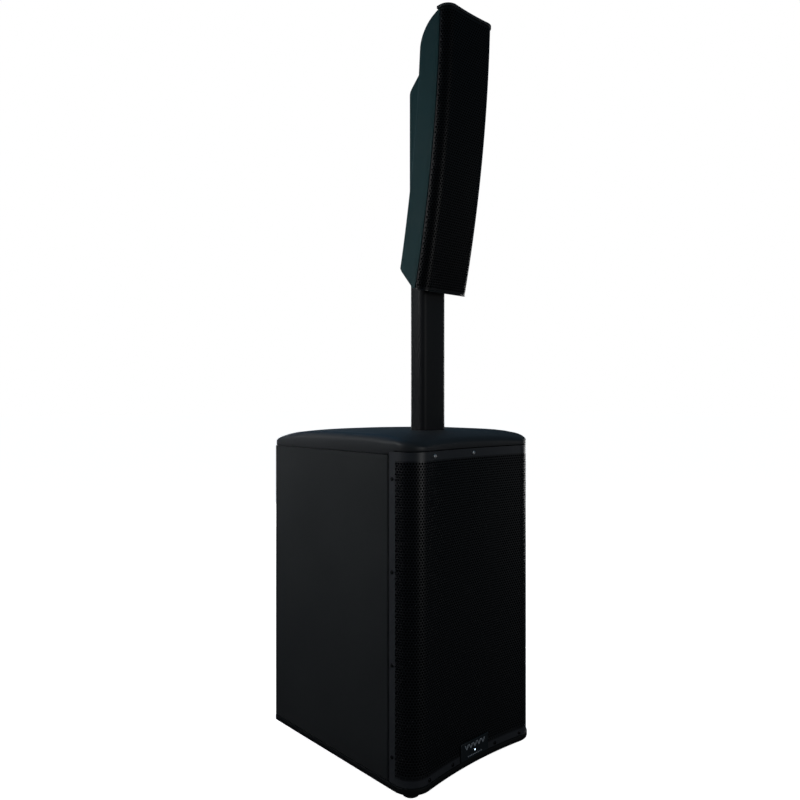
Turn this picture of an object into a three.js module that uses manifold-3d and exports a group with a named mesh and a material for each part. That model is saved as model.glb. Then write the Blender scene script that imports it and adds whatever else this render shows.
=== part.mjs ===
// Column PA system: a powered bass cabinet, a spacer pole that plugs into its top,
// and a slim curved column head that slides over the pole.
// Millimetres, +Z up. The origin is on the floor under the middle of the cabinet,
// the front faces -Y and the controls face +Y.

import * as THREE from 'three';
import { mergeVertices } from 'three/addons/utils/BufferGeometryUtils.js';
import Module from 'manifold-3d';

const wasm = await Module();
wasm.setup();

// ---------------------------------------------------------------- dimensions

// Clearances
const GAP = 0.3;                    // between pieces that touch
const SLIDE_FIT = 0.4;              // pole in its socket, each side
const SPIN_FIT = 0.5;               // knobs and buttons in their holes

// Bass cabinet. Distances called "back" are measured from the front plane.
const CABINET_WIDTH = 350;
const CABINET_DEPTH = 417;
const SIDE_HEIGHT = 574;            // side panels, between tray and cap
const SIDE_START = 57.4;            // front edge of the side panels
const BOARD = 15;
const FRONT_BOARD = 18;             // top, bottom and front boards
const EDGE_ROUND = 3;
const FRONT_RADIUS = 39.3;          // bead at each front corner
const FRONT_HOLLOW = 10;            // how far the middle of the grille is set back

const FOOT_HEIGHT = 14;
const FOOT_RADIUS = 17;
const FOOT_INSET = 33;
const TRAY_HEIGHT = 12;
const TRAY_OVERHANG = 2;
const TRAY_POCKET = 7;
const TRAY_RIM = 9;
const REAR_RADIUS = 6.5;

// Cabinet grille
const GRILLE_SHEET = 1.5;
const GRILLE_FLANGE = 53.2;         // where the side flange ends
const GRILLE_HEIGHT = 580;
const FOAM = 3;

// Cap over the cabinet
const CAP_RISE = 37.5;              // crown above the side panels
const CAP_FRONT_GAP = 2.5;          // between grille and cap
const CAP_WALL = 3.5;
const CAP_SIDE_DROP = 2.5;          // the crown is lower at the sides
const CAP_FRONT_DROP = 17;
const CAP_REAR_DROP = 8;
const CAP_CORNER_DROP = 13;
const CAP_FILLET = 6;

// Badge
const BADGE_WIDTH = 78;
const BADGE_HEIGHT = 33;
const BADGE_DEPTH = 2.5;
const BADGE_BOTTOM = 27;
const LED_RADIUS = 1.6;
const LED_HEIGHT = 13;              // above the badge's lower edge

// Pole and its socket
const POLE_WIDTH = 69.4;
const POLE_DEPTH = 40.1;
const POLE_RADIUS = 12;
const POLE_WALL = 2.5;
const POLE_BACK = 131.4;
const POLE_LENGTH = 779;
const POLE_INSERTION = 120;
const SOCKET_WALL = 4;
const SOCKET_FLOOR = 6;
const SOCKET_FLANGE = 12;
const CONTACT_WIDTH = 44;
const CONTACT_DEPTH = 20;
const CONTACT_HEIGHT = 8;
const PLUG_HEIGHT = 16;
const PIN_RADIUS = 1.5;
const PIN_HEIGHT = 6;
const PIN_PITCH = 8;

// Woofer and port
const WOOFER_HEIGHT = 388;          // axis above the floor
const WOOFER_RADIUS = 146;
const WOOFER_FLANGE = 5;
const WOOFER_DEPTH = 120;
const CONE_RADIUS = 112;
const CONE_DEPTH = 46;
const CONE_WALL = 1.6;
const DUST_RADIUS = 36;
const DUST_RISE = 20;
const COIL_RADIUS = 30;
const COIL_LENGTH = 34;
const MAGNET_RADIUS = 72;
const MAGNET_DEPTH = 34;
const CONE_TRAVEL = 6;
const PORT_HEIGHT = 132;
const PORT_WIDTH = 230;
const PORT_OPENING = 52;
const PORT_WALL = 4;
const PORT_LENGTH = 160;
const BRACE_BACK = 232;              // front face of the window brace
const BRACE_RIM = 45;

// Amplifier panel on the back
const PANEL_WIDTH = 236;
const PANEL_HEIGHT = 360;
const PANEL_BOTTOM = 96;            // lower edge of the panel flange
const PANEL_FLANGE = 14;
const PANEL_SHEET = 3;
const PANEL_RECESS = 24;
const KNOB_RADIUS = 9;
const KNOB_LENGTH = 14;
const DIAL_RADIUS = 15;
const JACK_SIZE = 30;
const JACK_DEPTH = 24;
const JACK_BORE = 10.5;
const BUTTON_RADIUS = 6;
const BUTTON_STROKE = 1.5;
const INLET_WIDTH = 28;
const INLET_HEIGHT = 20;
const ROCKER_WIDTH = 13;
const ROCKER_HEIGHT = 20;
const HEATSINK_WIDTH = 170;
const HEATSINK_SPACE = 44;          // left free under the lowest control
const HEATSINK_MARGIN = 10;
const FIN_COUNT = 12;
const FIN_SHEET = 2.4;

// Carrying handle above the amplifier panel
const HANDLE_WIDTH = 150;
const HANDLE_HEIGHT = 74;
const HANDLE_CENTRE = 519;
const HANDLE_RECESS = 50;
const HANDLE_WALL = 3;
const HANDLE_FLANGE = 8;
const GRIP_RADIUS = 11;

// Column head
const HEAD_WIDTH = 131.8;
const HEAD_DEPTH = 75;
const HEAD_TOP = 1426;              // top of the lip at the front
const HEAD_BOTTOM = 904.5;
const HEAD_FRONT = 13;              // back of the cabinet's front plane, at the arc's crest
const HEAD_ARC = 2700;              // radius of the front's side view
const HEAD_CREST = 1509;            // height at which that arc is upright
const HEAD_BEAD = 18.9;
const HEAD_HOLLOW = 1.75;
const HEAD_SHEET = 1.2;
const HEAD_RETURN = 19;             // depth of the grille's sides
const HEAD_SEAM = 1.8;
const HEAD_SHELL_WALL = 3;
const HEAD_REAR_ROUND = 8;
const HEAD_TOP_ROUND = 61;
const HEAD_LIP = 5;
const HEAD_LIP_OVERHANG = 1.8;
const HEAD_RIM = 2.5;
const CHIN_DEPTH = 30;              // flat part of the underside
const CHIN_SLOPE = 49;              // degrees, behind that flat
const CHANNEL_SIDE = 1.8;           // pole channel, beyond the pole
const CHANNEL_FRONT = 1.9;
const CHANNEL_WALL = 3;
const HEAD_BAFFLE_DEPTH = 20;
const HEAD_BAFFLE = 3;

// Hood on the head that grips the top of the pole
const HOOD_WALL = 1.9;
const HOOD_HEIGHT = 200;            // of pole inside the hood
const HOOD_CROWN = 4;
const HOOD_SLOPE = 45;
const LOCK_RADIUS = 10;
const LOCK_LENGTH = 14;
const LOCK_SCREW = 3;
const LOCK_DROP = 30;               // below the top of the pole

// Speakers in the head, each at its height on the front arc
const MID_RADIUS = 47;
const MID_FLANGE = 3;
const MID_CONE = 33;
const MID_CONE_DEPTH = 9;
const MID_MAGNET = 24;
const UPPER_MID_HEIGHT = 1359;
const UPPER_MID_DEPTH = 40;
const LOWER_MID_HEIGHT = 999;
const LOWER_MID_DEPTH = 21;
const MID_TRAVEL = 2;
const HORN_HEIGHT = 1179;
const HORN_WIDTH = 96;
const HORN_TALL = 150;
const HORN_DEPTH = 18;
const HORN_THROAT = 12;
const HORN_FLANGE = 3;
const DRIVER_RADIUS = 32;
const DRIVER_DEPTH = 30;

// Sides of the large round pieces
const ROUND = 36;

// ------------------------------------------------------------ derived places

const TRAY_TOP = FOOT_HEIGHT + TRAY_HEIGHT;
const SIDE_TOP = TRAY_TOP + SIDE_HEIGHT;
const HALF_WIDTH = CABINET_WIDTH / 2;
const INNER_HALF = HALF_WIDTH - BOARD;
const GRILLE_TOP = TRAY_TOP + GRILLE_HEIGHT;
const BOTTOM_BOARD_TOP = TRAY_TOP + GAP + FRONT_BOARD;
const TOP_BOARD_BOTTOM = GRILLE_TOP - FRONT_BOARD;
const BEHIND_GRILLE = GRILLE_SHEET + GAP;
const CAP_TOP = SIDE_TOP + CAP_RISE;
const CAP_CEILING = GRILLE_TOP + 2 * PANEL_SHEET;
const BAFFLE_START = SIDE_START - FRONT_BOARD;
const REAR_BOARD_START = CABINET_DEPTH - BOARD;
const POLE_BOTTOM = CAP_TOP - POLE_INSERTION;
const POLE_TOP = POLE_BOTTOM + POLE_LENGTH;
const PANEL_MIDDLE = PANEL_BOTTOM + PANEL_HEIGHT / 2;
const PANEL_FLOOR = CABINET_DEPTH - PANEL_RECESS;
const CHANNEL_HALF = POLE_WIDTH / 2 + CHANNEL_SIDE;
const CHANNEL_START = POLE_BACK - POLE_DEPTH / 2 - CHANNEL_FRONT;
const HEAD_HALF = HEAD_WIDTH / 2;

// --------------------------------------------------------- solids and shapes

// A closed three.js geometry as a manifold solid with its faces turned outwards.
function solid(geometry) {
  const bare = new THREE.BufferGeometry();
  bare.setAttribute('position', geometry.getAttribute('position'));
  if (geometry.index) bare.setIndex(geometry.index);
  const merged = mergeVertices(bare, 1e-4);
  const places = merged.getAttribute('position');
  const corners = merged.index.array;
  const triangles = [];
  const [a, b, c] = [new THREE.Vector3(), new THREE.Vector3(), new THREE.Vector3()];
  let volume = 0;
  for (let i = 0; i < corners.length; i += 3) {
    const [p, q, r] = corners.slice(i, i + 3);
    if (p === q || q === r || r === p) continue;
    triangles.push([p, q, r]);
    a.fromBufferAttribute(places, p);
    b.fromBufferAttribute(places, q);
    c.fromBufferAttribute(places, r);
    volume += a.dot(b.cross(c));
  }
  const turned = volume < 0 ? triangles.map(([p, q, r]) => [p, r, q]) : triangles;
  return new wasm.Manifold(new wasm.Mesh({
    numProp: 3,
    vertProperties: new Float32Array(places.array),
    triVerts: new Uint32Array(turned.flat()),
  }));
}

function geometryOf(manifold) {
  const { vertProperties, triVerts } = manifold.getMesh();
  const geometry = new THREE.BufferGeometry();
  geometry.setAttribute('position', new THREE.BufferAttribute(vertProperties, 3));
  geometry.setIndex(new THREE.BufferAttribute(triVerts, 1));
  geometry.computeVertexNormals();
  return geometry;
}

const join = (first, ...others) => others.reduce((sum, other) => sum.add(other), first);
const cut = (first, ...others) => others.reduce((rest, other) => rest.subtract(other), first);

// A box between two values on each axis.
function block([x0, x1], [y0, y1], [z0, z1]) {
  const geometry = new THREE.BoxGeometry(x1 - x0, y1 - y0, z1 - z0);
  return solid(geometry.translate((x0 + x1) / 2, (y0 + y1) / 2, (z0 + z1) / 2));
}

// A box as wide as it is on both sides of x = 0.
const centred = (half, ys, zs) => block([-half, half], ys, zs);

// A plan outline in x and y, raised along Z.
function raise(shape, [z0, z1], curveSegments = 5) {
  const options = { depth: z1 - z0, bevelEnabled: false, curveSegments };
  return solid(new THREE.ExtrudeGeometry(shape, options).translate(0, 0, z0));
}

// A side outline in y and z, drawn out along X.
function acrossWidth(shape, [x0, x1], curveSegments = 8) {
  const options = { depth: x1 - x0, bevelEnabled: false, curveSegments };
  const axes = new THREE.Matrix4().makeBasis(
    new THREE.Vector3(0, 1, 0), new THREE.Vector3(0, 0, 1), new THREE.Vector3(1, 0, 0));
  return solid(new THREE.ExtrudeGeometry(shape, options).applyMatrix4(axes).translate(x0, 0, 0));
}

// A front outline in x and z, drawn out along Y.
function alongDepth(shape, [y0, y1], curveSegments = 8) {
  const options = { depth: y1 - y0, bevelEnabled: false, curveSegments };
  const geometry = new THREE.ExtrudeGeometry(shape, options).rotateX(Math.PI / 2);
  return solid(geometry.translate(0, y1, 0));
}

// A profile of [radius, distance along the axis], turned round the Y axis.
function turned(profile, segments = 32) {
  const points = profile.map(([radius, along]) => new THREE.Vector2(radius, along));
  return solid(new THREE.LatheGeometry(points, segments));
}

// A ring profile, closed on itself.
const turnedRing = (profile, segments) => turned([...profile, profile[0]], segments);

// A round rod along Y.
const rod = (radius, [y0, y1], segments = 24) =>
  turned([[0, y0], [radius, y0], [radius, y1], [0, y1]], segments);

function roundedRectangle(width, height, radius, centreX = 0, centreY = 0) {
  const [x, y] = [centreX - width / 2, centreY - height / 2];
  const shape = new THREE.Shape();
  shape.moveTo(x + radius, y);
  shape.lineTo(x + width - radius, y);
  shape.absarc(x + width - radius, y + radius, radius, -Math.PI / 2, 0);
  shape.lineTo(x + width, y + height - radius);
  shape.absarc(x + width - radius, y + height - radius, radius, 0, Math.PI / 2);
  shape.lineTo(x + radius, y + height);
  shape.absarc(x + radius, y + height - radius, radius, Math.PI / 2, Math.PI);
  shape.lineTo(x, y + radius);
  shape.absarc(x + radius, y + radius, radius, Math.PI, Math.PI * 1.5);
  return shape;
}

// Plan of a front with a round bead at each corner and a shallow hollow between them,
// from the left side to the right, each point pulled in by the inset.
function beadedFront(halfWidth, bead, hollow, inset, beadSteps = 7, hollowSteps = 6) {
  const beadX = halfWidth - bead;
  const hollowRadius = (beadX ** 2 + hollow ** 2 - 2 * bead * hollow) / (2 * hollow);
  const turn = Math.atan2(beadX, bead - hollow + hollowRadius);
  const points = [];
  for (let i = 0; i <= beadSteps; i += 1) {
    const angle = (Math.PI / 2 + turn) * (i / beadSteps);
    points.push(new THREE.Vector2(
      -beadX - (bead - inset) * Math.cos(angle), bead - (bead - inset) * Math.sin(angle)));
  }
  for (let i = 1; i < hollowSteps; i += 1) {
    const angle = turn * (2 * i / hollowSteps - 1);
    points.push(new THREE.Vector2(
      (hollowRadius + inset) * Math.sin(angle),
      hollow - hollowRadius + (hollowRadius + inset) * Math.cos(angle)));
  }
  for (let i = beadSteps; i >= 0; i -= 1) {
    points.push(new THREE.Vector2(-points[i].x, points[i].y));
  }
  return points;
}

const cabinetFront = (inset) => beadedFront(HALF_WIDTH, FRONT_RADIUS, FRONT_HOLLOW, inset);
const headFront = (inset) => beadedFront(HEAD_HALF, HEAD_BEAD, HEAD_HOLLOW, inset, 5, 4);

// A bent sheet between two insets of a beaded front, its sides running back to a depth.
function sheetPlan(front, outer, inner, halfWidth, depth) {
  const outside = front(outer);
  const inside = front(inner).reverse();
  return new THREE.Shape([
    new THREE.Vector2(outer - halfWidth, depth), ...outside,
    new THREE.Vector2(halfWidth - outer, depth), new THREE.Vector2(halfWidth - inner, depth),
    ...inside, new THREE.Vector2(inner - halfWidth, depth),
  ]);
}

// ------------------------------------------------------------------ finishes

const LOOKS = {
  texturedPaint: { color: 0x26282a, roughness: 0.62, metalness: 0 },
  plywood: { color: 0x7a6248, roughness: 0.8, metalness: 0 },
  blackPlastic: { color: 0x1f2225, roughness: 0.5, metalness: 0 },
  blackSteel: { color: 0x141517, roughness: 0.45, metalness: 0.3 },
  darkFoam: { color: 0x08080a, roughness: 1, metalness: 0 },
  rubber: { color: 0x101112, roughness: 0.9, metalness: 0 },
  badge: { color: 0x16181b, roughness: 0.35, metalness: 0.1 },
  ledLens: { color: 0xdfe9f5, roughness: 0.2, metalness: 0 },
  anodised: { color: 0x232426, roughness: 0.4, metalness: 0.7 },
  castMetal: { color: 0x3a3c3f, roughness: 0.5, metalness: 0.6 },
  ferrite: { color: 0x2a2a2c, roughness: 0.7, metalness: 0.3 },
  paper: { color: 0x161617, roughness: 0.9, metalness: 0 },
  copper: { color: 0xb4693c, roughness: 0.4, metalness: 0.9 },
  heatsinkMetal: { color: 0x1c1d1f, roughness: 0.5, metalness: 0.6 },
  circuit: { color: 0x1d4a2c, roughness: 0.6, metalness: 0 },
  screen: { color: 0x0a1a2a, roughness: 0.1, metalness: 0 },
  brightMetal: { color: 0xb8babd, roughness: 0.3, metalness: 0.9 },
  redSwitch: { color: 0x8c1a16, roughness: 0.4, metalness: 0 },
};

function addPart(group, name, look, shape, x = 0, y = 0, z = 0) {
  const mesh = new THREE.Mesh(geometryOf(shape), new THREE.MeshStandardMaterial(LOOKS[look]));
  mesh.name = name;
  mesh.position.set(x, y, z);
  group.add(mesh);
  return mesh;
}

// ------------------------------------------------------------------- cabinet

function sidePanel(side) {
  const outline = new THREE.Shape();
  const [inner, outer] = [side * INNER_HALF, side * HALF_WIDTH];
  outline.moveTo(inner, SIDE_START);
  outline.lineTo(outer - side * EDGE_ROUND, SIDE_START);
  outline.quadraticCurveTo(outer, SIDE_START, outer, SIDE_START + EDGE_ROUND);
  outline.lineTo(outer, CABINET_DEPTH - EDGE_ROUND);
  outline.quadraticCurveTo(outer, CABINET_DEPTH, outer - side * EDGE_ROUND, CABINET_DEPTH);
  outline.lineTo(inner, CABINET_DEPTH);
  return raise(outline, [TRAY_TOP + GAP, SIDE_TOP], 4);
}

// A board whose front follows the inside of the grille and that fits between the sides.
function shapedBoard(zs) {
  const shoulder = SIDE_START - GAP;
  const [wide, narrow] = [HALF_WIDTH - BEHIND_GRILLE, INNER_HALF - GAP];
  const outline = [
    ...cabinetFront(BEHIND_GRILLE),
    new THREE.Vector2(wide, shoulder), new THREE.Vector2(narrow, shoulder),
    new THREE.Vector2(narrow, REAR_BOARD_START - GAP),
    new THREE.Vector2(-narrow, REAR_BOARD_START - GAP),
    new THREE.Vector2(-narrow, shoulder), new THREE.Vector2(-wide, shoulder),
  ];
  return raise(new THREE.Shape(outline), zs);
}

const poleOutline = (extra) => roundedRectangle(
  POLE_WIDTH + 2 * extra, POLE_DEPTH + 2 * extra, POLE_RADIUS + extra);

const SOCKET_OUT = SLIDE_FIT + SOCKET_WALL;
const SOCKET_TOP = GRILLE_TOP + GAP + PANEL_SHEET;

function topBoard() {
  const hole = raise(poleOutline(SOCKET_OUT + GAP), [TOP_BOARD_BOTTOM - 1, GRILLE_TOP + 1]);
  return cut(shapedBoard([TOP_BOARD_BOTTOM, GRILLE_TOP]), hole.translate(0, POLE_BACK, 0));
}

function frontBoard() {
  const half = HALF_WIDTH - BEHIND_GRILLE;
  const board = centred(half, [BAFFLE_START, SIDE_START - GAP],
    [BOTTOM_BOARD_TOP + GAP, TOP_BOARD_BOTTOM - GAP]);
  const wooferHole = rod(WOOFER_RADIUS - WOOFER_FLANGE * 2, [0, SIDE_START + 1], ROUND);
  const portShape = roundedRectangle(
    PORT_WIDTH + 2 * (PORT_WALL + GAP), PORT_OPENING + 2 * (PORT_WALL + GAP),
    PORT_OPENING / 2 + PORT_WALL + GAP, 0, PORT_HEIGHT);
  return cut(board, wooferHole.translate(0, 0, WOOFER_HEIGHT),
    alongDepth(portShape, [0, SIDE_START + 1], 5));
}

function rearBoard() {
  const board = centred(INNER_HALF - GAP, [REAR_BOARD_START, CABINET_DEPTH],
    [TRAY_TOP + GAP, SIDE_TOP]);
  const past = [REAR_BOARD_START - 1, CABINET_DEPTH + 1];
  const rebate = [CABINET_DEPTH - PANEL_SHEET - GAP, CABINET_DEPTH + 1];
  const opening = (width, height, ys, middle) => centred(width / 2 + GAP, ys,
    [middle - height / 2 - GAP, middle + height / 2 + GAP]);
  return cut(board,
    opening(PANEL_WIDTH, PANEL_HEIGHT, rebate, PANEL_MIDDLE),
    opening(PANEL_WIDTH - 2 * PANEL_FLANGE, PANEL_HEIGHT - 2 * PANEL_FLANGE, past, PANEL_MIDDLE),
    opening(HANDLE_WIDTH, HANDLE_HEIGHT, rebate, HANDLE_CENTRE),
    opening(HANDLE_WIDTH - 2 * HANDLE_FLANGE, HANDLE_HEIGHT - 2 * HANDLE_FLANGE, past,
      HANDLE_CENTRE));
}

// A window brace between the side panels, behind the woofer and the port.
function brace() {
  const ys = [BRACE_BACK, BRACE_BACK + BOARD];
  const [low, high] = [BOTTOM_BOARD_TOP + GAP, TOP_BOARD_BOTTOM - GAP];
  const half = INNER_HALF - GAP;
  const windowShape = roundedRectangle(
    2 * (half - BRACE_RIM), high - low - 2 * BRACE_RIM, BRACE_RIM, 0, (low + high) / 2);
  return cut(centred(half, ys, [low, high]),
    alongDepth(windowShape, [BRACE_BACK - 1, BRACE_BACK + BOARD + 1], 4));
}

// Height of the cap's upper surface: a crown that falls towards the sides, front and rear.
function crownHeight(x, y) {
  const across = Math.min(1, Math.abs(x) / HALF_WIDTH);
  const middle = CABINET_DEPTH * 0.48;
  const ahead = Math.max(0, (middle - y) / middle);
  const behind = Math.max(0, (y - middle) / (CABINET_DEPTH - middle));
  return CAP_TOP - CAP_SIDE_DROP * across ** 2 - CAP_FRONT_DROP * ahead ** 5
    - CAP_REAR_DROP * behind ** 3 - CAP_CORNER_DROP * behind ** 4 * across ** 3;
}

function quarterTurn(centreX, centreY, radius, start, steps = 5) {
  return Array.from({ length: steps + 1 }, (_, i) => {
    const angle = start + (Math.PI / 2) * (i / steps);
    return new THREE.Vector2(
      centreX + radius * Math.cos(angle), centreY + radius * Math.sin(angle));
  });
}

// Outline of tray and cap: the beaded front, straight sides and rounded rear corners.
function cabinetOutline(inset) {
  const [x, y] = [HALF_WIDTH - REAR_RADIUS, CABINET_DEPTH - REAR_RADIUS];
  const sides = [0.25, 0.5, 0.75].map((share) => FRONT_RADIUS + (y - FRONT_RADIUS) * share);
  return [
    ...cabinetFront(inset),
    ...sides.map((back) => new THREE.Vector2(HALF_WIDTH - inset, back)),
    ...quarterTurn(x, y, REAR_RADIUS - inset, 0),
    new THREE.Vector2(x / 2, CABINET_DEPTH - inset),
    new THREE.Vector2(-x / 2, CABINET_DEPTH - inset),
    ...quarterTurn(-x, y, REAR_RADIUS - inset, Math.PI / 2),
    ...sides.reverse().map((back) => new THREE.Vector2(inset - HALF_WIDTH, back)),
  ];
}

// A closed solid through loops of equal length, with a fan at each end.
function loft(loops) {
  const count = loops[0].length;
  const middle = (loop) => loop.reduce((sum, p) => sum.add(p), new THREE.Vector3())
    .divideScalar(count);
  const places = [...loops.flat(), middle(loops[0]), middle(loops[loops.length - 1])];
  const [first, last] = [count * loops.length, count * loops.length + 1];
  const corners = [];
  for (let i = 0; i < count; i += 1) {
    const next = (i + 1) % count;
    corners.push(first, next, i);
    const end = count * (loops.length - 1);
    corners.push(last, end + i, end + next);
    for (let ring = 0; ring < loops.length - 1; ring += 1) {
      const [a, b] = [ring * count, (ring + 1) * count];
      corners.push(a + i, a + next, b + next, a + i, b + next, b + i);
    }
  }
  const geometry = new THREE.BufferGeometry().setFromPoints(places);
  return solid(geometry.setIndex(corners));
}

function topCap() {
  const centre = new THREE.Vector2(0, CABINET_DEPTH * 0.45);
  const ring = (inset, share, height) => cabinetOutline(inset).map((point) => {
    const p = point.clone().lerp(centre, 1 - share);
    return new THREE.Vector3(p.x, p.y, height(p.x, p.y));
  });
  const lowest = () => SIDE_TOP + GAP;
  const loops = [
    ring(0, 0.3, crownHeight), ring(0, 0.62, crownHeight), ring(0, 0.84, crownHeight),
    ring(CAP_FILLET, 1, crownHeight),
    ring(CAP_FILLET * 0.3, 1, (x, y) => crownHeight(x, y) - CAP_FILLET * 0.3),
    ring(0, 1, (x, y) => crownHeight(x, y) - CAP_FILLET),
    ring(0, 1, lowest),
    ring(CAP_WALL, 1, lowest),
    ring(CAP_WALL, 1, (x, y) => crownHeight(x, y) - CAP_FILLET - CAP_WALL),
    ring(CAP_WALL + CAP_FILLET, 0.97, (x, y) => crownHeight(x, y) - CAP_WALL),
    ring(0, 0.5, (x, y) => crownHeight(x, y) - CAP_WALL),
  ];
  const poleHole = raise(poleOutline(2 * SLIDE_FIT), [SIDE_TOP, CAP_TOP + 1])
    .translate(0, POLE_BACK, 0);
  const frontRelief = centred(HALF_WIDTH + 1, [-1, SIDE_START],
    [SIDE_TOP - 1, GRILLE_TOP + CAP_FRONT_GAP]);
  return cut(loft(loops), poleHole, frontRelief);
}

function baseTray() {
  const half = HALF_WIDTH + TRAY_OVERHANG;
  const outline = beadedFront(half, FRONT_RADIUS + TRAY_OVERHANG, FRONT_HOLLOW, 0)
    .map((point) => new THREE.Vector2(point.x, point.y - TRAY_OVERHANG));
  const rear = CABINET_DEPTH + TRAY_OVERHANG;
  outline.push(...quarterTurn(half - REAR_RADIUS, rear - REAR_RADIUS, REAR_RADIUS, 0));
  outline.push(...quarterTurn(REAR_RADIUS - half, rear - REAR_RADIUS, REAR_RADIUS, Math.PI / 2));
  const tray = raise(new THREE.Shape(outline), [FOOT_HEIGHT, TRAY_TOP]);
  const pocket = centred(INNER_HALF - TRAY_RIM,
    [FRONT_RADIUS + TRAY_RIM, REAR_BOARD_START - TRAY_RIM], [TRAY_TOP - TRAY_POCKET, TRAY_TOP + 1]);
  return cut(tray, pocket);
}

function foot() {
  const top = FOOT_HEIGHT - GAP;
  const profile = [[0, 0], [FOOT_RADIUS - 3, 0], [FOOT_RADIUS - 1, 2], [FOOT_RADIUS, top], [0, top]];
  return solid(new THREE.LatheGeometry(
    profile.map(([radius, height]) => new THREE.Vector2(radius, height)), 16).rotateX(Math.PI / 2));
}

function cabinetGrille() {
  const plan = sheetPlan(cabinetFront, 0, GRILLE_SHEET, HALF_WIDTH, GRILLE_FLANGE);
  return raise(plan, [TRAY_TOP + GAP, GRILLE_TOP]);
}

function cabinetFoam() {
  const inner = BEHIND_GRILLE + FOAM;
  const outside = cabinetFront(BEHIND_GRILLE).slice(2, -2);
  const inside = cabinetFront(inner).slice(2, -2).reverse();
  return raise(new THREE.Shape([...outside, ...inside]),
    [BOTTOM_BOARD_TOP + GAP, TOP_BOARD_BOTTOM - GAP]);
}

// How far the hollow front stands forward of its middle at a distance x from it.
function hollowRise(x) {
  const beadX = HALF_WIDTH - FRONT_RADIUS;
  const radius = (beadX ** 2 + FRONT_HOLLOW ** 2 - 2 * FRONT_RADIUS * FRONT_HOLLOW)
    / (2 * FRONT_HOLLOW);
  return radius - Math.sqrt(radius ** 2 - x ** 2);
}

const BADGE_BACK = FRONT_HOLLOW - hollowRise(BADGE_WIDTH / 2) - GAP;

function badgePlate() {
  const plate = alongDepth(roundedRectangle(BADGE_WIDTH, BADGE_HEIGHT, 4),
    [BADGE_BACK - BADGE_DEPTH, BADGE_BACK], 4);
  const ledHole = rod(LED_RADIUS + GAP, [BADGE_BACK - BADGE_DEPTH - 1, BADGE_BACK + 1], 16)
    .translate(0, 0, LED_HEIGHT - BADGE_HEIGHT / 2);
  return cut(plate, ledHole);
}

function pinRow(radius, [z0, z1]) {
  const pins = [];
  for (let column = -2; column <= 2; column += 1) {
    const pin = new THREE.CylinderGeometry(radius, radius, z1 - z0, 8).rotateX(Math.PI / 2);
    pins.push(solid(pin.translate(column * PIN_PITCH, 0, (z0 + z1) / 2)));
  }
  return pins;
}

function poleSocket() {
  const bottom = POLE_BOTTOM - GAP - SOCKET_FLOOR;
  const tube = raise(poleOutline(SOCKET_OUT), [bottom, SOCKET_TOP]);
  const flange = raise(poleOutline(SOCKET_OUT + SOCKET_FLANGE), [GRILLE_TOP + GAP, SOCKET_TOP]);
  const well = raise(poleOutline(SLIDE_FIT), [POLE_BOTTOM - GAP, SOCKET_TOP + 1]);
  return cut(join(tube, flange), well);
}

function contactBlock() {
  const body = block([-CONTACT_WIDTH / 2, CONTACT_WIDTH / 2],
    [-CONTACT_DEPTH / 2, CONTACT_DEPTH / 2], [0, CONTACT_HEIGHT]);
  return join(body, ...pinRow(PIN_RADIUS, [CONTACT_HEIGHT - 1, CONTACT_HEIGHT + PIN_HEIGHT]));
}

// The plug inside an end of the pole, with bores that clear the pins. Its mouth is at z = 0.
function polePlug() {
  const inner = poleOutline(-POLE_WALL - GAP);
  return cut(raise(inner, [0, PLUG_HEIGHT]),
    ...pinRow(PIN_RADIUS + SLIDE_FIT, [-1, PIN_HEIGHT + 2]));
}

// -------------------------------------------------------------------- woofer

const WOOFER_FACE = BAFFLE_START - GAP - WOOFER_FLANGE;
const BASKET_NECK = WOOFER_RADIUS - 15;

function wooferBasket() {
  const back = WOOFER_DEPTH - MAGNET_DEPTH;
  const profile = [
    [BASKET_NECK, 0], [WOOFER_RADIUS, 0], [WOOFER_RADIUS, WOOFER_FLANGE],
    [WOOFER_RADIUS - 12, WOOFER_FLANGE], [WOOFER_RADIUS - 14, 30],
    [MAGNET_RADIUS, back - 8], [MAGNET_RADIUS, back],
    [COIL_RADIUS + 8, back], [COIL_RADIUS + 8, back - 4],
    [MAGNET_RADIUS - 6, back - 5], [BASKET_NECK - 5, 26], [BASKET_NECK, 8],
  ];
  const basket = turnedRing(profile, ROUND);
  const windows = [0, 1, 2, 3].map((quarter) => block([-16, 16], [34, back - 14],
    [MAGNET_RADIUS * 0.8, WOOFER_RADIUS]).rotate([0, quarter * 90 + 45, 0]));
  return cut(basket, ...windows);
}

function wooferSurround() {
  const [inner, outer] = [CONE_RADIUS + GAP, BASKET_NECK - GAP];
  const middle = (inner + outer) / 2;
  return turnedRing([
    [inner, 1], [middle - 6, -3.6], [middle, -5], [middle + 6, -3.6], [outer, 1],
    [outer, 3], [middle + 6, -1.6], [middle, -3], [middle - 6, -1.6], [inner, 3]], ROUND);
}

// Cone with its dust cap and surround edge. The neck carries the voice coil.
function wooferCone() {
  const neck = CONE_DEPTH;
  const domeTop = neck - DUST_RISE;
  return turned([
    [0, domeTop], [DUST_RADIUS * 0.6, domeTop + 3.5], [DUST_RADIUS, neck - 6],
    [CONE_RADIUS - 4, 1], [CONE_RADIUS, 1], [CONE_RADIUS, 1 + CONE_WALL * 2],
    [CONE_RADIUS - 4, 1 + CONE_WALL * 2], [COIL_RADIUS + 2, neck], [COIL_RADIUS - 2, neck],
    [COIL_RADIUS - 2, neck - 3], [DUST_RADIUS * 0.6, domeTop + 3.5 + CONE_WALL],
    [0, domeTop + CONE_WALL]], ROUND);
}

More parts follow.
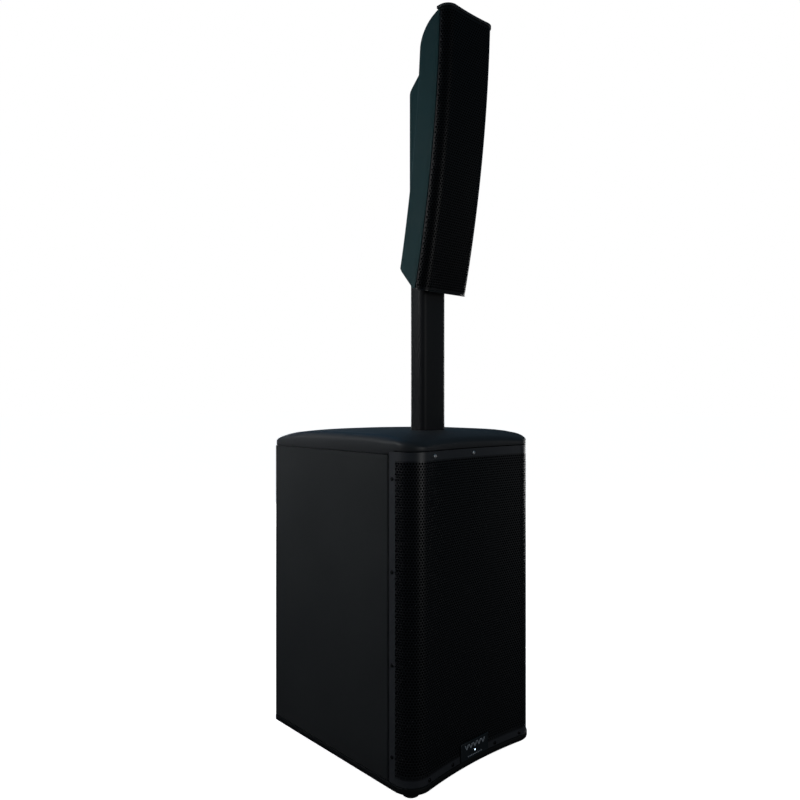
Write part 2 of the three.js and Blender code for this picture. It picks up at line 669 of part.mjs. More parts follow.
function wooferSpider() {
  const [inner, outer] = [COIL_RADIUS + 2 + SPIN_FIT, MAGNET_RADIUS - 14];
  const back = WOOFER_DEPTH - MAGNET_DEPTH - 24;
  const step = (outer - inner) / 4;
  const wave = [0, 1, 2, 3, 4].map((i) => [inner + i * step, back + (i % 2) * 3]);
  const underside = wave.map(([radius, along]) => [radius, along + 1.2]).reverse();
  return turnedRing([...wave, ...underside], 24);
}

const COIL_START = CONE_DEPTH + GAP;

function voiceCoil() {
  const end = COIL_START + COIL_LENGTH;
  return turnedRing([
    [COIL_RADIUS - 1, COIL_START], [COIL_RADIUS + 1, COIL_START], [COIL_RADIUS + 1, end],
    [COIL_RADIUS - 1, end]], 24);
}

function wooferMagnet() {
  const front = WOOFER_DEPTH - MAGNET_DEPTH + GAP;
  const gapBottom = COIL_START + COIL_LENGTH + CONE_TRAVEL + 4;
  return turned([
    [0, front], [COIL_RADIUS - 3, front], [COIL_RADIUS - 3, gapBottom + 14],
    [COIL_RADIUS + 4, gapBottom + 14], [COIL_RADIUS + 4, front], [MAGNET_RADIUS - 2, front],
    [MAGNET_RADIUS, front + 3], [MAGNET_RADIUS, front + MAGNET_DEPTH - 3],
    [MAGNET_RADIUS - 2, front + MAGNET_DEPTH], [0, front + MAGNET_DEPTH]], 28);
}

function portTube() {
  const ys = [BAFFLE_START - 2, BAFFLE_START + PORT_LENGTH];
  const outline = (extra) => roundedRectangle(PORT_WIDTH + 2 * extra, PORT_OPENING + 2 * extra,
    PORT_OPENING / 2 + extra, 0, PORT_HEIGHT);
  return cut(alongDepth(outline(PORT_WALL), ys, 5),
    alongDepth(outline(0), [ys[0] - 1, ys[1] + 1], 5));
}

// ----------------------------------------------------------- amplifier panel

// Places of the controls on the panel: across from the middle, up from the panel's centre.
const CONTROL_TOP = PANEL_HEIGHT / 2 - PANEL_FLANGE - PANEL_SHEET;
const CONTROLS = {
  display: [0, CONTROL_TOP - 34],
  dial: [70, CONTROL_TOP - 34],
  modeButton: [-60, CONTROL_TOP - 22],
  pairButton: [-60, CONTROL_TOP - 46],
  levelOne: [-58, CONTROL_TOP - 86],
  levelTwo: [0, CONTROL_TOP - 86],
  jackOne: [-58, CONTROL_TOP - 126],
  jackTwo: [0, CONTROL_TOP - 126],
  jackLink: [58, CONTROL_TOP - 126],
  inlet: [-58, CONTROL_TOP - 172],
  rocker: [0, CONTROL_TOP - 172],
};
const DISPLAY_WIDTH = 56;
const DISPLAY_HEIGHT = 34;

// The pan: a flange flush with the rear board, four walls and a floor that carries the controls.
function amplifierPanel() {
  const outerWidth = PANEL_WIDTH - 2 * (PANEL_FLANGE + GAP);
  const outerHeight = PANEL_HEIGHT - 2 * (PANEL_FLANGE + GAP);
  const box = (width, height, ys) => block([-width / 2, width / 2], ys, [-height / 2, height / 2]);
  const flange = box(PANEL_WIDTH, PANEL_HEIGHT, [CABINET_DEPTH - PANEL_SHEET, CABINET_DEPTH]);
  const pan = box(outerWidth, outerHeight, [PANEL_FLOOR - PANEL_SHEET, CABINET_DEPTH]);
  const space = box(outerWidth - 2 * PANEL_SHEET, outerHeight - 2 * PANEL_SHEET,
    [PANEL_FLOOR, CABINET_DEPTH + 1]);
  const through = [PANEL_FLOOR - PANEL_SHEET - 1, PANEL_FLOOR + 1];
  const round = ([x, z], radius) => rod(radius, through, 20).translate(x, 0, z);
  const square = ([x, z], width, height) =>
    block([x - width / 2, x + width / 2], through, [z - height / 2, z + height / 2]);
  return cut(join(flange, pan), space,
    square(CONTROLS.display, DISPLAY_WIDTH + 2 * GAP, DISPLAY_HEIGHT + 2 * GAP),
    round(CONTROLS.dial, DIAL_RADIUS / 3 + SPIN_FIT),
    round(CONTROLS.modeButton, BUTTON_RADIUS + SPIN_FIT),
    round(CONTROLS.pairButton, BUTTON_RADIUS + SPIN_FIT),
    round(CONTROLS.levelOne, KNOB_RADIUS / 3 + SPIN_FIT),
    round(CONTROLS.levelTwo, KNOB_RADIUS / 3 + SPIN_FIT),
    ...['jackOne', 'jackTwo', 'jackLink'].map((name) =>
      square(CONTROLS[name], JACK_SIZE + 2 * GAP, JACK_SIZE + 2 * GAP)),
    square(CONTROLS.inlet, INLET_WIDTH + 2 * GAP, INLET_HEIGHT + 2 * GAP),
    square(CONTROLS.rocker, ROCKER_WIDTH + 2 * SPIN_FIT, ROCKER_HEIGHT + 2 * SPIN_FIT));
}

// A knob or dial with its shaft, lying along Y with the floor's face at y = 0.
function knob(radius, length) {
  return join(
    turned([[0, 1.5], [radius, 1.5], [radius, 4], [radius - 1, length - 1], [radius - 2, length],
      [0, length]], 24),
    rod(radius / 3, [-PANEL_SHEET - 8, 2], 12));
}

function pushButton() {
  return rod(BUTTON_RADIUS, [-PANEL_SHEET - 6, 4], 20);
}

function comboJack() {
  const half = JACK_SIZE / 2;
  const body = block([-half, half], [-JACK_DEPTH, 2.5], [-half, half]);
  return cut(body, rod(JACK_BORE, [4 - JACK_DEPTH, 3], 24));
}

function powerInlet() {
  const [halfX, halfZ] = [INLET_WIDTH / 2, INLET_HEIGHT / 2];
  const body = block([-halfX, halfX], [-JACK_DEPTH, 2.5], [-halfZ, halfZ]);
  const socket = block([3 - halfX, halfX - 3], [4 - JACK_DEPTH, 3], [3 - halfZ, halfZ - 3]);
  const blade = (x) => block([x - 1, x + 1], [3 - JACK_DEPTH, -2], [-2, 2]);
  return join(cut(body, socket), blade(-7), blade(0), blade(7));
}

// A rocker that turns about X, its axis at the floor's face.
function powerRocker() {
  const outline = new THREE.Shape();
  const half = ROCKER_HEIGHT / 2 - 1;
  outline.moveTo(-7, -half);
  outline.lineTo(1.5, -half);
  outline.quadraticCurveTo(1, 0, 5, half);
  outline.lineTo(-7, half - 2);
  return acrossWidth(outline, [-ROCKER_WIDTH / 2, ROCKER_WIDTH / 2]);
}

const HEATSINK_BOTTOM = -PANEL_HEIGHT / 2 + PANEL_FLANGE + PANEL_SHEET + HEATSINK_MARGIN;
const HEATSINK_TOP = CONTROLS.inlet[1] - INLET_HEIGHT / 2 - HEATSINK_SPACE;

function heatsink() {
  const [halfX, halfZ] = [HEATSINK_WIDTH / 2, (HEATSINK_TOP - HEATSINK_BOTTOM) / 2];
  const plate = block([-halfX, halfX], [GAP, 4], [-halfZ, halfZ]);
  const pitch = (HEATSINK_WIDTH - FIN_SHEET) / (FIN_COUNT - 1);
  const fins = Array.from({ length: FIN_COUNT }, (_, i) => {
    const x = i * pitch - halfX;
    return block([x, x + FIN_SHEET], [3, PANEL_RECESS - 4], [-halfZ, halfZ]);
  });
  return join(plate, ...fins);
}

function amplifierBoard() {
  const face = -PANEL_SHEET - JACK_DEPTH - 6;
  const board = block([-90, 90], [face - 2, face], [-130, 130]);
  const parts = [
    block([-80, -30], [face - 34, face - 1], [-120, -60]),
    block([-10, 26], [face - 26, face - 1], [-118, -82]),
    block([40, 76], [face - 30, face - 1], [-110, -50]),
    block([-70, 60], [face - 12, face - 1], [-20, 10]),
  ];
  return join(board, ...parts);
}

// ---------------------------------------------------------------- handle

const HANDLE_OPENING = HANDLE_HEIGHT - 2 * (HANDLE_FLANGE + GAP);

function handleCup() {
  const width = HANDLE_WIDTH - 2 * (HANDLE_FLANGE + GAP);
  const box = (halfX, halfZ, ys) => block([-halfX, halfX], ys, [-halfZ, halfZ]);
  const flange = box(HANDLE_WIDTH / 2, HANDLE_HEIGHT / 2,
    [CABINET_DEPTH - PANEL_SHEET, CABINET_DEPTH]);
  const tub = box(width / 2, HANDLE_OPENING / 2, [CABINET_DEPTH - HANDLE_RECESS, CABINET_DEPTH]);
  const space = box(width / 2 - HANDLE_WALL, HANDLE_OPENING / 2 - HANDLE_WALL,
    [CABINET_DEPTH - HANDLE_RECESS + HANDLE_WALL, CABINET_DEPTH + 1]);
  return cut(join(flange, tub), space);
}

function handleGrip() {
  const half = HANDLE_WIDTH / 2 - HANDLE_FLANGE - HANDLE_WALL - 2 * GAP;
  const shape = roundedRectangle(2 * GRIP_RADIUS, 2 * GRIP_RADIUS - 4, GRIP_RADIUS - 3);
  return acrossWidth(shape, [-half, half], 4);
}

// ------------------------------------------------------------------ the head

const ARC_BACK = HEAD_FRONT + HEAD_ARC;
const arcAngle = (height) => Math.asin((HEAD_CREST - height) / HEAD_ARC);
const LIP_UNDERSIDE = HEAD_TOP - HEAD_LIP;

// How far back the head's front is at a height.
const frontAt = (height) => ARC_BACK - HEAD_ARC * Math.cos(arcAngle(height));

// A plan outline in x and depth behind the front, swept up the head's front arc.
function sweepUp(shape, [low, high], steps = 8) {
  const geometry = new THREE.ExtrudeGeometry(
    shape, { depth: 1, steps, bevelEnabled: false, curveSegments: 5 });
  const places = geometry.getAttribute('position');
  const [bottom, top] = [arcAngle(low), arcAngle(high)];
  for (let i = 0; i < places.count; i += 1) {
    const angle = THREE.MathUtils.lerp(bottom, top, places.getZ(i));
    const radius = HEAD_ARC - places.getY(i);
    places.setXYZ(i, places.getX(i), ARC_BACK - radius * Math.cos(angle),
      HEAD_CREST - radius * Math.sin(angle));
  }
  return solid(geometry);
}

// The head's back outline between a start depth and the rear, with rounded rear corners.
function rearOutline(start, side, rear, round) {
  return new THREE.Shape([
    new THREE.Vector2(-side, start), new THREE.Vector2(side, start),
    ...quarterTurn(side - round, rear - round, round, 0, 4),
    ...quarterTurn(round - side, rear - round, round, Math.PI / 2, 4),
  ]);
}

const SHELL_START = HEAD_RETURN + HEAD_SEAM;

// Side view of everything outside the head's rounded top and its sloping chin.
function headTrimming(grow) {
  const rear = frontAt(HEAD_TOP) + HEAD_DEPTH + 3;
  const round = HEAD_TOP_ROUND;
  const top = LIP_UNDERSIDE - GAP - grow;
  const outline = new THREE.Shape();
  outline.moveTo(-60, top);
  outline.lineTo(rear - round, top);
  outline.absarc(rear - round, top - round, round, Math.PI / 2, 0, true);
  outline.lineTo(rear + 80, top - round);
  outline.lineTo(rear + 80, top + 90);
  outline.lineTo(-60, top + 90);
  return acrossWidth(outline, [-HEAD_HALF - 9, HEAD_HALF + 9], 10);
}

function chinTrimming() {
  const angle = arcAngle(HEAD_BOTTOM);
  const radius = HEAD_ARC - CHIN_DEPTH;
  const [y, z] = [ARC_BACK - radius * Math.cos(angle), HEAD_CREST - radius * Math.sin(angle)];
  const rise = 200 * Math.tan(THREE.MathUtils.degToRad(CHIN_SLOPE));
  const outline = new THREE.Shape([
    new THREE.Vector2(y, z), new THREE.Vector2(y + 200, z + rise),
    new THREE.Vector2(y + 200, z - 60), new THREE.Vector2(y, z - 60)]);
  return acrossWidth(outline, [-HEAD_HALF - 9, HEAD_HALF + 9]);
}

const channelBlock = (extra) => centred(CHANNEL_HALF + extra,
  [CHANNEL_START - extra, CHANNEL_START + 200], [HEAD_BOTTOM - 60, HEAD_TOP + 60]);

function headBody(start, inset) {
  const plan = rearOutline(start, HEAD_HALF - inset, HEAD_DEPTH - inset,
    HEAD_REAR_ROUND - inset / 2);
  return sweepUp(plan, [HEAD_BOTTOM + inset, HEAD_TOP]);
}

// The tub: sides, back, top and chin, open at the front and with the pole's channel behind.
function headShell() {
  const outer = cut(headBody(SHELL_START, 0), headTrimming(0), chinTrimming(), channelBlock(0));
  const hollow = cut(headBody(SHELL_START - 6, HEAD_SHELL_WALL),
    headTrimming(HEAD_SHELL_WALL), chinTrimming().translate(0, 0, HEAD_SHELL_WALL + 1.5),
    channelBlock(CHANNEL_WALL));
  return cut(outer, hollow);
}

function headGrille() {
  const lean = HEAD_RETURN * Math.sin(arcAngle(HEAD_TOP));
  const plan = sheetPlan(headFront, 0, HEAD_SHEET, HEAD_HALF, HEAD_RETURN);
  return sweepUp(plan, [HEAD_BOTTOM + HEAD_RIM + GAP, LIP_UNDERSIDE - GAP - lean]);
}

// The lip over the top of grille and shell.
function headTopCap() {
  const front = headFront(-HEAD_LIP_OVERHANG);
  const side = HEAD_HALF + HEAD_LIP_OVERHANG;
  const rear = HEAD_DEPTH - HEAD_TOP_ROUND + 3;
  const outline = new THREE.Shape([
    ...front, new THREE.Vector2(side, rear + 12), new THREE.Vector2(-side, rear + 12)]);
  const plate = raise(outline, [LIP_UNDERSIDE, HEAD_TOP]);
  return plate.translate(0, frontAt(HEAD_TOP), 0);
}

// The bright-edged rim under the grille.
function headRim() {
  const outline = new THREE.Shape([
    ...headFront(0), new THREE.Vector2(HEAD_HALF, SHELL_START - GAP),
    new THREE.Vector2(-HEAD_HALF, SHELL_START - GAP)]);
  return sweepUp(outline, [HEAD_BOTTOM, HEAD_BOTTOM + HEAD_RIM], 1);
}

// A frame on the front arc at a height: y runs back into the head, z up along the arc.
function arcGroup(height) {
  const group = new THREE.Group();
  group.position.set(0, frontAt(height), height);
  group.rotation.x = arcAngle(height);
  return group;
}

// A cutter for a hole square to the front arc at a height.
const onArc = (shape, height) => shape
  .rotate([THREE.MathUtils.radToDeg(arcAngle(height)), 0, 0])
  .translate(0, frontAt(height), height);

function headBaffle() {
  const inner = HEAD_HALF - HEAD_SHELL_WALL - GAP;
  const plan = new THREE.Shape([
    new THREE.Vector2(-inner, HEAD_BAFFLE_DEPTH), new THREE.Vector2(inner, HEAD_BAFFLE_DEPTH),
    new THREE.Vector2(inner, HEAD_BAFFLE_DEPTH + HEAD_BAFFLE),
    new THREE.Vector2(-inner, HEAD_BAFFLE_DEPTH + HEAD_BAFFLE)]);
  const board = sweepUp(plan, [HEAD_BOTTOM + 2 * HEAD_SHELL_WALL, LIP_UNDERSIDE - 8]);
  const past = [HEAD_BAFFLE_DEPTH - 6, HEAD_BAFFLE_DEPTH + 12];
  const hornHole = alongDepth(
    roundedRectangle(HORN_WIDTH - 2 * HORN_FLANGE, HORN_TALL - 2 * HORN_FLANGE, 4), past, 4);
  return cut(board,
    onArc(rod(MID_RADIUS - 7, past, 32), UPPER_MID_HEIGHT),
    onArc(rod(MID_RADIUS - 7, past, 32), LOWER_MID_HEIGHT),
    onArc(hornHole, HORN_HEIGHT));
}

// The depth at which the head's speakers and horn meet the front of its baffle.
const MOUNT_FACE = HEAD_BAFFLE_DEPTH - GAP;

// Frame of a small speaker, in its own arc frame.
function midFrame(depth) {
  const front = MOUNT_FACE - MID_FLANGE;
  const magnet = front + depth;
  return turnedRing([
    [MID_CONE + 4, front], [MID_RADIUS, front], [MID_RADIUS, front + MID_FLANGE],
    [MID_RADIUS - 8, front + MID_FLANGE], [MID_RADIUS - 8, front + 2 * MID_FLANGE],
    [MID_MAGNET, magnet - 4], [MID_MAGNET, magnet],
    [4, magnet], [4, magnet - 5], [MID_MAGNET - 3, magnet - 6],
    [MID_CONE + 4, front + MID_FLANGE + 2]], 20);
}

function midCone() {
  const front = MOUNT_FACE - MID_FLANGE;
  return turned([
    [0, front + 1], [9, front + 3], [MID_CONE - 6, front + 1.5], [MID_CONE, front - 0.5],
    [MID_CONE + 3.4, front + 1], [MID_CONE + 3.4, front + 2.4], [MID_CONE, front + 1],
    [MID_CONE - 6, front + 3], [12, front + MID_CONE_DEPTH - 1], [12, front + MID_CONE_DEPTH],
    [9, front + MID_CONE_DEPTH], [9, front + 4.6], [0, front + 2.6]], 20);
}

// A flared waveguide with a round throat, in its own arc frame.
function waveguide() {
  const front = MOUNT_FACE - HORN_FLANGE;
  const flange = alongDepth(roundedRectangle(HORN_WIDTH, HORN_TALL, 8),
    [front, front + HORN_FLANGE], 4);
  const flare = (halfX, halfZ, halfThroat, ys) => {
    const corners = [[-1, -1], [1, -1], [1, 1], [-1, 1]];
    return loft([
      corners.map(([sx, sz]) => new THREE.Vector3(sx * halfX, ys[0], sz * halfZ)),
      corners.map(([sx, sz]) => new THREE.Vector3(sx * halfThroat, ys[1], sz * halfThroat)),
    ]);
  };
  const end = front + HORN_DEPTH;
  const outside = flare(HORN_WIDTH / 2 - 8, HORN_TALL / 2 - 8, HORN_THROAT + 4, [front + 1, end]);
  const inside = flare(HORN_WIDTH / 2 - 10, HORN_TALL / 2 - 10, HORN_THROAT * 0.8,
    [front - 0.5, end + 0.5]);
  return cut(join(flange, outside), inside);
}

function compressionDriver() {
  const start = MOUNT_FACE - HORN_FLANGE + HORN_DEPTH + GAP;
  const end = start + DRIVER_DEPTH;
  return turned([
    [0, start + 4], [HORN_THROAT * 0.8, start + 4], [HORN_THROAT, start],
    [DRIVER_RADIUS - 2, start], [DRIVER_RADIUS, start + 2], [DRIVER_RADIUS, end - 3],
    [DRIVER_RADIUS - 3, end], [0, end]], 24);
}

// ------------------------------------------------------------------ the hood

const HOOD_BOTTOM = POLE_TOP - HOOD_HEIGHT;
const HOOD_REAR = POLE_BACK + POLE_DEPTH / 2 + SLIDE_FIT + HOOD_WALL;

// A sleeve closed at the top with a sloping crown, cut to seat on the back of the head.
function mountHood() {
  const front = POLE_BACK - POLE_DEPTH;
  const crown = POLE_TOP + GAP + HOOD_CROWN;
  const rise = (HOOD_REAR - front) * Math.tan(THREE.MathUtils.degToRad(HOOD_SLOPE));
  const side = new THREE.Shape([
    new THREE.Vector2(front - 20, HOOD_BOTTOM), new THREE.Vector2(HOOD_REAR, HOOD_BOTTOM),
    new THREE.Vector2(HOOD_REAR, crown), new THREE.Vector2(front, crown + rise),
    new THREE.Vector2(front - 20, crown + rise)]);
  const half = POLE_WIDTH / 2 + SLIDE_FIT + HOOD_WALL;
  const sleeve = acrossWidth(side, [-half, half]);
  const round = POLE_RADIUS + HOOD_WALL;
  const plan = new THREE.Shape([
    new THREE.Vector2(-half, 0), new THREE.Vector2(half, 0),
    ...quarterTurn(half - round, HOOD_REAR - round, round, 0),
    ...quarterTurn(round - half, HOOD_REAR - round, round, Math.PI / 2)]);
  const rounded = sleeve.intersect(raise(plan, [HOOD_BOTTOM - 1, crown + rise + 1]));
  const pocket = raise(poleOutline(SLIDE_FIT), [HOOD_BOTTOM - 1, POLE_TOP + GAP])
    .translate(0, POLE_BACK, 0);
  const seat = sweepUp(rearOutline(-30, HEAD_HALF + GAP, HEAD_DEPTH + GAP, HEAD_REAR_ROUND),
    [HEAD_BOTTOM, HEAD_TOP]);
  const lockHole = rod(LOCK_SCREW + SPIN_FIT, [HOOD_REAR - 12, HOOD_REAR + 5], 16)
    .translate(0, 0, POLE_TOP - LOCK_DROP);
  return cut(rounded, pocket, seat, lockHole);
}

// Clamp knob with its screw, lying along Y with the hood's face at y = 0.
function lockKnob() {
  const grip = turned([[0, 1.5], [LOCK_RADIUS - 1, 1.5], [LOCK_RADIUS, 3],
    [LOCK_RADIUS, LOCK_LENGTH - 2], [LOCK_RADIUS - 2, LOCK_LENGTH], [0, LOCK_LENGTH]], 10);
  return join(grip, rod(LOCK_SCREW, [GAP - HOOD_WALL, 2], 12));
}

// ------------------------------------------------------------------ assembly

function buildCabinet() {
  const cabinet = new THREE.Group();
  addPart(cabinet, 'side_panel_left', 'texturedPaint', sidePanel(-1));
  addPart(cabinet, 'side_panel_right', 'texturedPaint', sidePanel(1));
  addPart(cabinet, 'top_board', 'plywood', topBoard());
  addPart(cabinet, 'bottom_board', 'plywood', shapedBoard([TRAY_TOP + GAP, BOTTOM_BOARD_TOP]));
  addPart(cabinet, 'front_board', 'plywood', frontBoard());
  addPart(cabinet, 'rear_board', 'texturedPaint', rearBoard());
  addPart(cabinet, 'cabinet_brace', 'plywood', brace());
  addPart(cabinet, 'top_cap', 'blackPlastic', topCap());
  addPart(cabinet, 'base_tray', 'blackPlastic', baseTray());
  const [x, y] = [HALF_WIDTH - FOOT_INSET, CABINET_DEPTH - FOOT_INSET];
  addPart(cabinet, 'foot_front_left', 'rubber', foot(), -x, FOOT_INSET);
  addPart(cabinet, 'foot_front_right', 'rubber', foot(), x, FOOT_INSET);
  addPart(cabinet, 'foot_rear_left', 'rubber', foot(), -x, y);
  addPart(cabinet, 'foot_rear_right', 'rubber', foot(), x, y);
  addPart(cabinet, 'cabinet_grille', 'blackSteel', cabinetGrille());
  addPart(cabinet, 'cabinet_grille_foam', 'darkFoam', cabinetFoam());
  const badgeMiddle = BADGE_BOTTOM + BADGE_HEIGHT / 2;
  addPart(cabinet, 'badge_plate', 'badge', badgePlate(), 0, 0, badgeMiddle);
  addPart(cabinet, 'status_light', 'ledLens',
    rod(LED_RADIUS, [BADGE_BACK - BADGE_DEPTH - 0.4, BADGE_BACK - 0.2], 16),
    0, 0, BADGE_BOTTOM + LED_HEIGHT);
  addPart(cabinet, 'pole_socket', 'blackPlastic', poleSocket(), 0, POLE_BACK);
  addPart(cabinet, 'socket_contacts', 'brightMetal', contactBlock(), 0, POLE_BACK, POLE_BOTTOM);
  return cabinet;
}

function buildWoofer() {
  const woofer = new THREE.Group();
  woofer.position.set(0, WOOFER_FACE, WOOFER_HEIGHT);
  addPart(woofer, 'woofer_basket', 'castMetal', wooferBasket());
  addPart(woofer, 'woofer_surround', 'rubber', wooferSurround());
  addPart(woofer, 'woofer_cone', 'paper', wooferCone());
  addPart(woofer, 'woofer_spider', 'copper', wooferSpider());
  addPart(woofer, 'woofer_voice_coil', 'copper', voiceCoil());
  addPart(woofer, 'woofer_magnet', 'ferrite', wooferMagnet());
  return woofer;
}

function buildAmplifier() {
  const panel = new THREE.Group();
  panel.position.z = PANEL_MIDDLE;
  addPart(panel, 'amplifier_panel', 'blackSteel', amplifierPanel());
  const controls = new THREE.Group();
  controls.position.y = PANEL_FLOOR;
  panel.add(controls);
  const place = (name, look, shape, [x, z]) => addPart(controls, name, look, shape, x, 0, z);
  const screen = block([-DISPLAY_WIDTH / 2, DISPLAY_WIDTH / 2], [-PANEL_SHEET, 1],
    [-DISPLAY_HEIGHT / 2, DISPLAY_HEIGHT / 2]);
  place('display_lens', 'screen', screen, CONTROLS.display);
  place('menu_dial', 'blackPlastic', knob(DIAL_RADIUS, KNOB_LENGTH), CONTROLS.dial);
  place('mode_button', 'rubber', pushButton(), CONTROLS.modeButton);
  place('pairing_button', 'rubber', pushButton(), CONTROLS.pairButton);
  place('level_knob_1', 'blackPlastic', knob(KNOB_RADIUS, KNOB_LENGTH), CONTROLS.levelOne);
  place('level_knob_2', 'blackPlastic', knob(KNOB_RADIUS, KNOB_LENGTH), CONTROLS.levelTwo);
  place('input_jack_1', 'blackPlastic', comboJack(), CONTROLS.jackOne);
  place('input_jack_2', 'blackPlastic', comboJack(), CONTROLS.jackTwo);
  place('link_jack', 'blackPlastic', comboJack(), CONTROLS.jackLink);
  place('power_inlet', 'blackPlastic', powerInlet(), CONTROLS.inlet);
  place('power_rocker', 'redSwitch', powerRocker(), CONTROLS.rocker);
  place('heatsink', 'heatsinkMetal', heatsink(), [0, (HEATSINK_TOP + HEATSINK_BOTTOM) / 2]);
  place('amplifier_board', 'circuit', amplifierBoard(), [0, 0]);
  return panel;
}

function buildPole() {
  const pole = new THREE.Group();
  pole.position.set(0, POLE_BACK, POLE_BOTTOM);
  const tube = cut(raise(poleOutline(0), [0, POLE_LENGTH]),
    raise(poleOutline(-POLE_WALL), [-1, POLE_LENGTH + 1]));
  addPart(pole, 'pole_tube', 'anodised', tube);
  const mouth = CONTACT_HEIGHT + 2 * GAP;
  addPart(pole, 'pole_plug_lower', 'blackPlastic', polePlug(), 0, 0, mouth);
  const upper = addPart(pole, 'pole_plug_upper', 'blackPlastic', polePlug(), 0, 0,
    POLE_LENGTH - mouth);
  upper.rotation.y = Math.PI;
  return pole;
}

function addMid(head, side, height, depth) {
  const mid = arcGroup(height);
  addPart(mid, `${side}_mid_frame`, 'castMetal', midFrame(depth));
  addPart(mid, `${side}_mid_cone`, 'paper', midCone());
  head.add(mid);
}

function buildHead() {
  const head = new THREE.Group();
  addPart(head, 'head_shell', 'blackPlastic', headShell());
  addPart(head, 'head_grille', 'blackSteel', headGrille());
  addPart(head, 'head_top_cap', 'blackPlastic', headTopCap());
  addPart(head, 'head_rim', 'blackPlastic', headRim());
  addPart(head, 'head_baffle', 'blackPlastic', headBaffle());
  addPart(head, 'mount_hood', 'blackPlastic', mountHood());
  addMid(head, 'upper', UPPER_MID_HEIGHT, UPPER_MID_DEPTH);
  addMid(head, 'lower', LOWER_MID_HEIGHT, LOWER_MID_DEPTH);
  const horn = arcGroup(HORN_HEIGHT);
  addPart(horn, 'waveguide', 'blackPlastic', waveguide());
  addPart(horn, 'compression_driver', 'ferrite', compressionDriver());
  head.add(horn);
  addPart(head, 'lock_knob', 'blackPlastic', lockKnob(), 0, HOOD_REAR, POLE_TOP - LOCK_DROP);
  const contacts = addPart(head, 'head_contacts', 'brightMetal', contactBlock(),
    0, POLE_BACK, POLE_TOP);
  contacts.rotation.y = Math.PI;
  return head;
}

const system = new THREE.Group();
system.name = 'column_pa_system';
system.position.y = -CABINET_DEPTH / 2;

const details = new THREE.Group();
addPart(details, 'port_tube', 'blackPlastic', portTube());
addPart(details, 'handle_cup', 'blackPlastic', handleCup(), 0, 0, HANDLE_CENTRE);
addPart(details, 'handle_grip', 'rubber', handleGrip(), 0, CABINET_DEPTH - GRIP_RADIUS - 2,
  HANDLE_CENTRE + HANDLE_OPENING / 2 - HANDLE_WALL - GRIP_RADIUS);

system.add(buildCabinet(), buildWoofer(), details, buildAmplifier(), buildPole(), buildHead());
system.updateMatrixWorld(true);

export default system;
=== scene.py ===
"""Column PA system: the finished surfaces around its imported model, laid out as an add-on."""

import math
from contextlib import contextmanager

import bmesh
import bpy
from bpy.props import FloatProperty, FloatVectorProperty, IntProperty, PointerProperty
from mathutils import Matrix, Vector


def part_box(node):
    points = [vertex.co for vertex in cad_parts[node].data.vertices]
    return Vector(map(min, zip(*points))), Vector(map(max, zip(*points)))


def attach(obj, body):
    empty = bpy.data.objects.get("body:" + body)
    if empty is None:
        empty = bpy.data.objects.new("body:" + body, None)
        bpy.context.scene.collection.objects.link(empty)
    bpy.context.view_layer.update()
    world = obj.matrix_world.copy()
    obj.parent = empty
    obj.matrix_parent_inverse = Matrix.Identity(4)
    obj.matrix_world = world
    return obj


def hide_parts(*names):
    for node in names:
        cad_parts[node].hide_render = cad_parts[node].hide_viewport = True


bl_info = {
    "name": "Column PA system",
    "version": (1, 0, 0),
    "blender": (4, 5, 0),
    "location": "3D View > Sidebar > Column PA",
    "description": "Models the grilles, mouldings, fittings and finishes of a column PA system",
    "category": "Object",
}

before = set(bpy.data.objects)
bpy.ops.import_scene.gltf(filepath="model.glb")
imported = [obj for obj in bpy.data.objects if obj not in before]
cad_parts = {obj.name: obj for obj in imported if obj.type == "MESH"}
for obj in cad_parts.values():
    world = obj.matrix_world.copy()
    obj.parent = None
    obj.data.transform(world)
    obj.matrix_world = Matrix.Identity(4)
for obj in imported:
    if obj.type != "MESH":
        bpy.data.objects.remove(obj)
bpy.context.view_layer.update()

MM = 0.001
WELD_DISTANCE = 0.02 * MM


# ------------------------------------------------------------------ driving places

def low(node):
    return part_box(node)[0]


def high(node):
    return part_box(node)[1]


def middle(node):
    return (low(node) + high(node)) / 2


REAR = high("side_panel_left").y
FRONT = -REAR
HALF_WIDTH = high("side_panel_right").x
SIDE_TOP = high("side_panel_left").z
GRILLE_TOP = high("cabinet_grille").z
FLANGE_END = high("cabinet_grille").y - FRONT
PANEL_FLOOR = high("display_lens").y - 1 * MM

HEAD_HALF = high("head_grille").x
HEAD_BOTTOM = low("head_rim").z
HEAD_TOP = high("head_top_cap").z
LIP_UNDERSIDE = low("head_top_cap").z
HEAD_ARC = 2.7
HEAD_CREST = 1.509
HEAD_DEPTH = 75 * MM
ARC_BACK = FRONT + 13 * MM + HEAD_ARC
POLE_BACK = middle("pole_tube").y
POLE_RADIUS = 12 * MM
POLE_WALL = 2.5 * MM


# ------------------------------------------------------------------ what a user may change

def length(name, description, value, low_end=0.0):
    return FloatProperty(name=name, description=description, default=value, min=low_end,
                         unit="LENGTH", subtype="DISTANCE", precision=4)


def colour(name, description, value):
    return FloatVectorProperty(name=name, description=description, default=value, size=3,
                               min=0.0, max=1.0, subtype="COLOR")


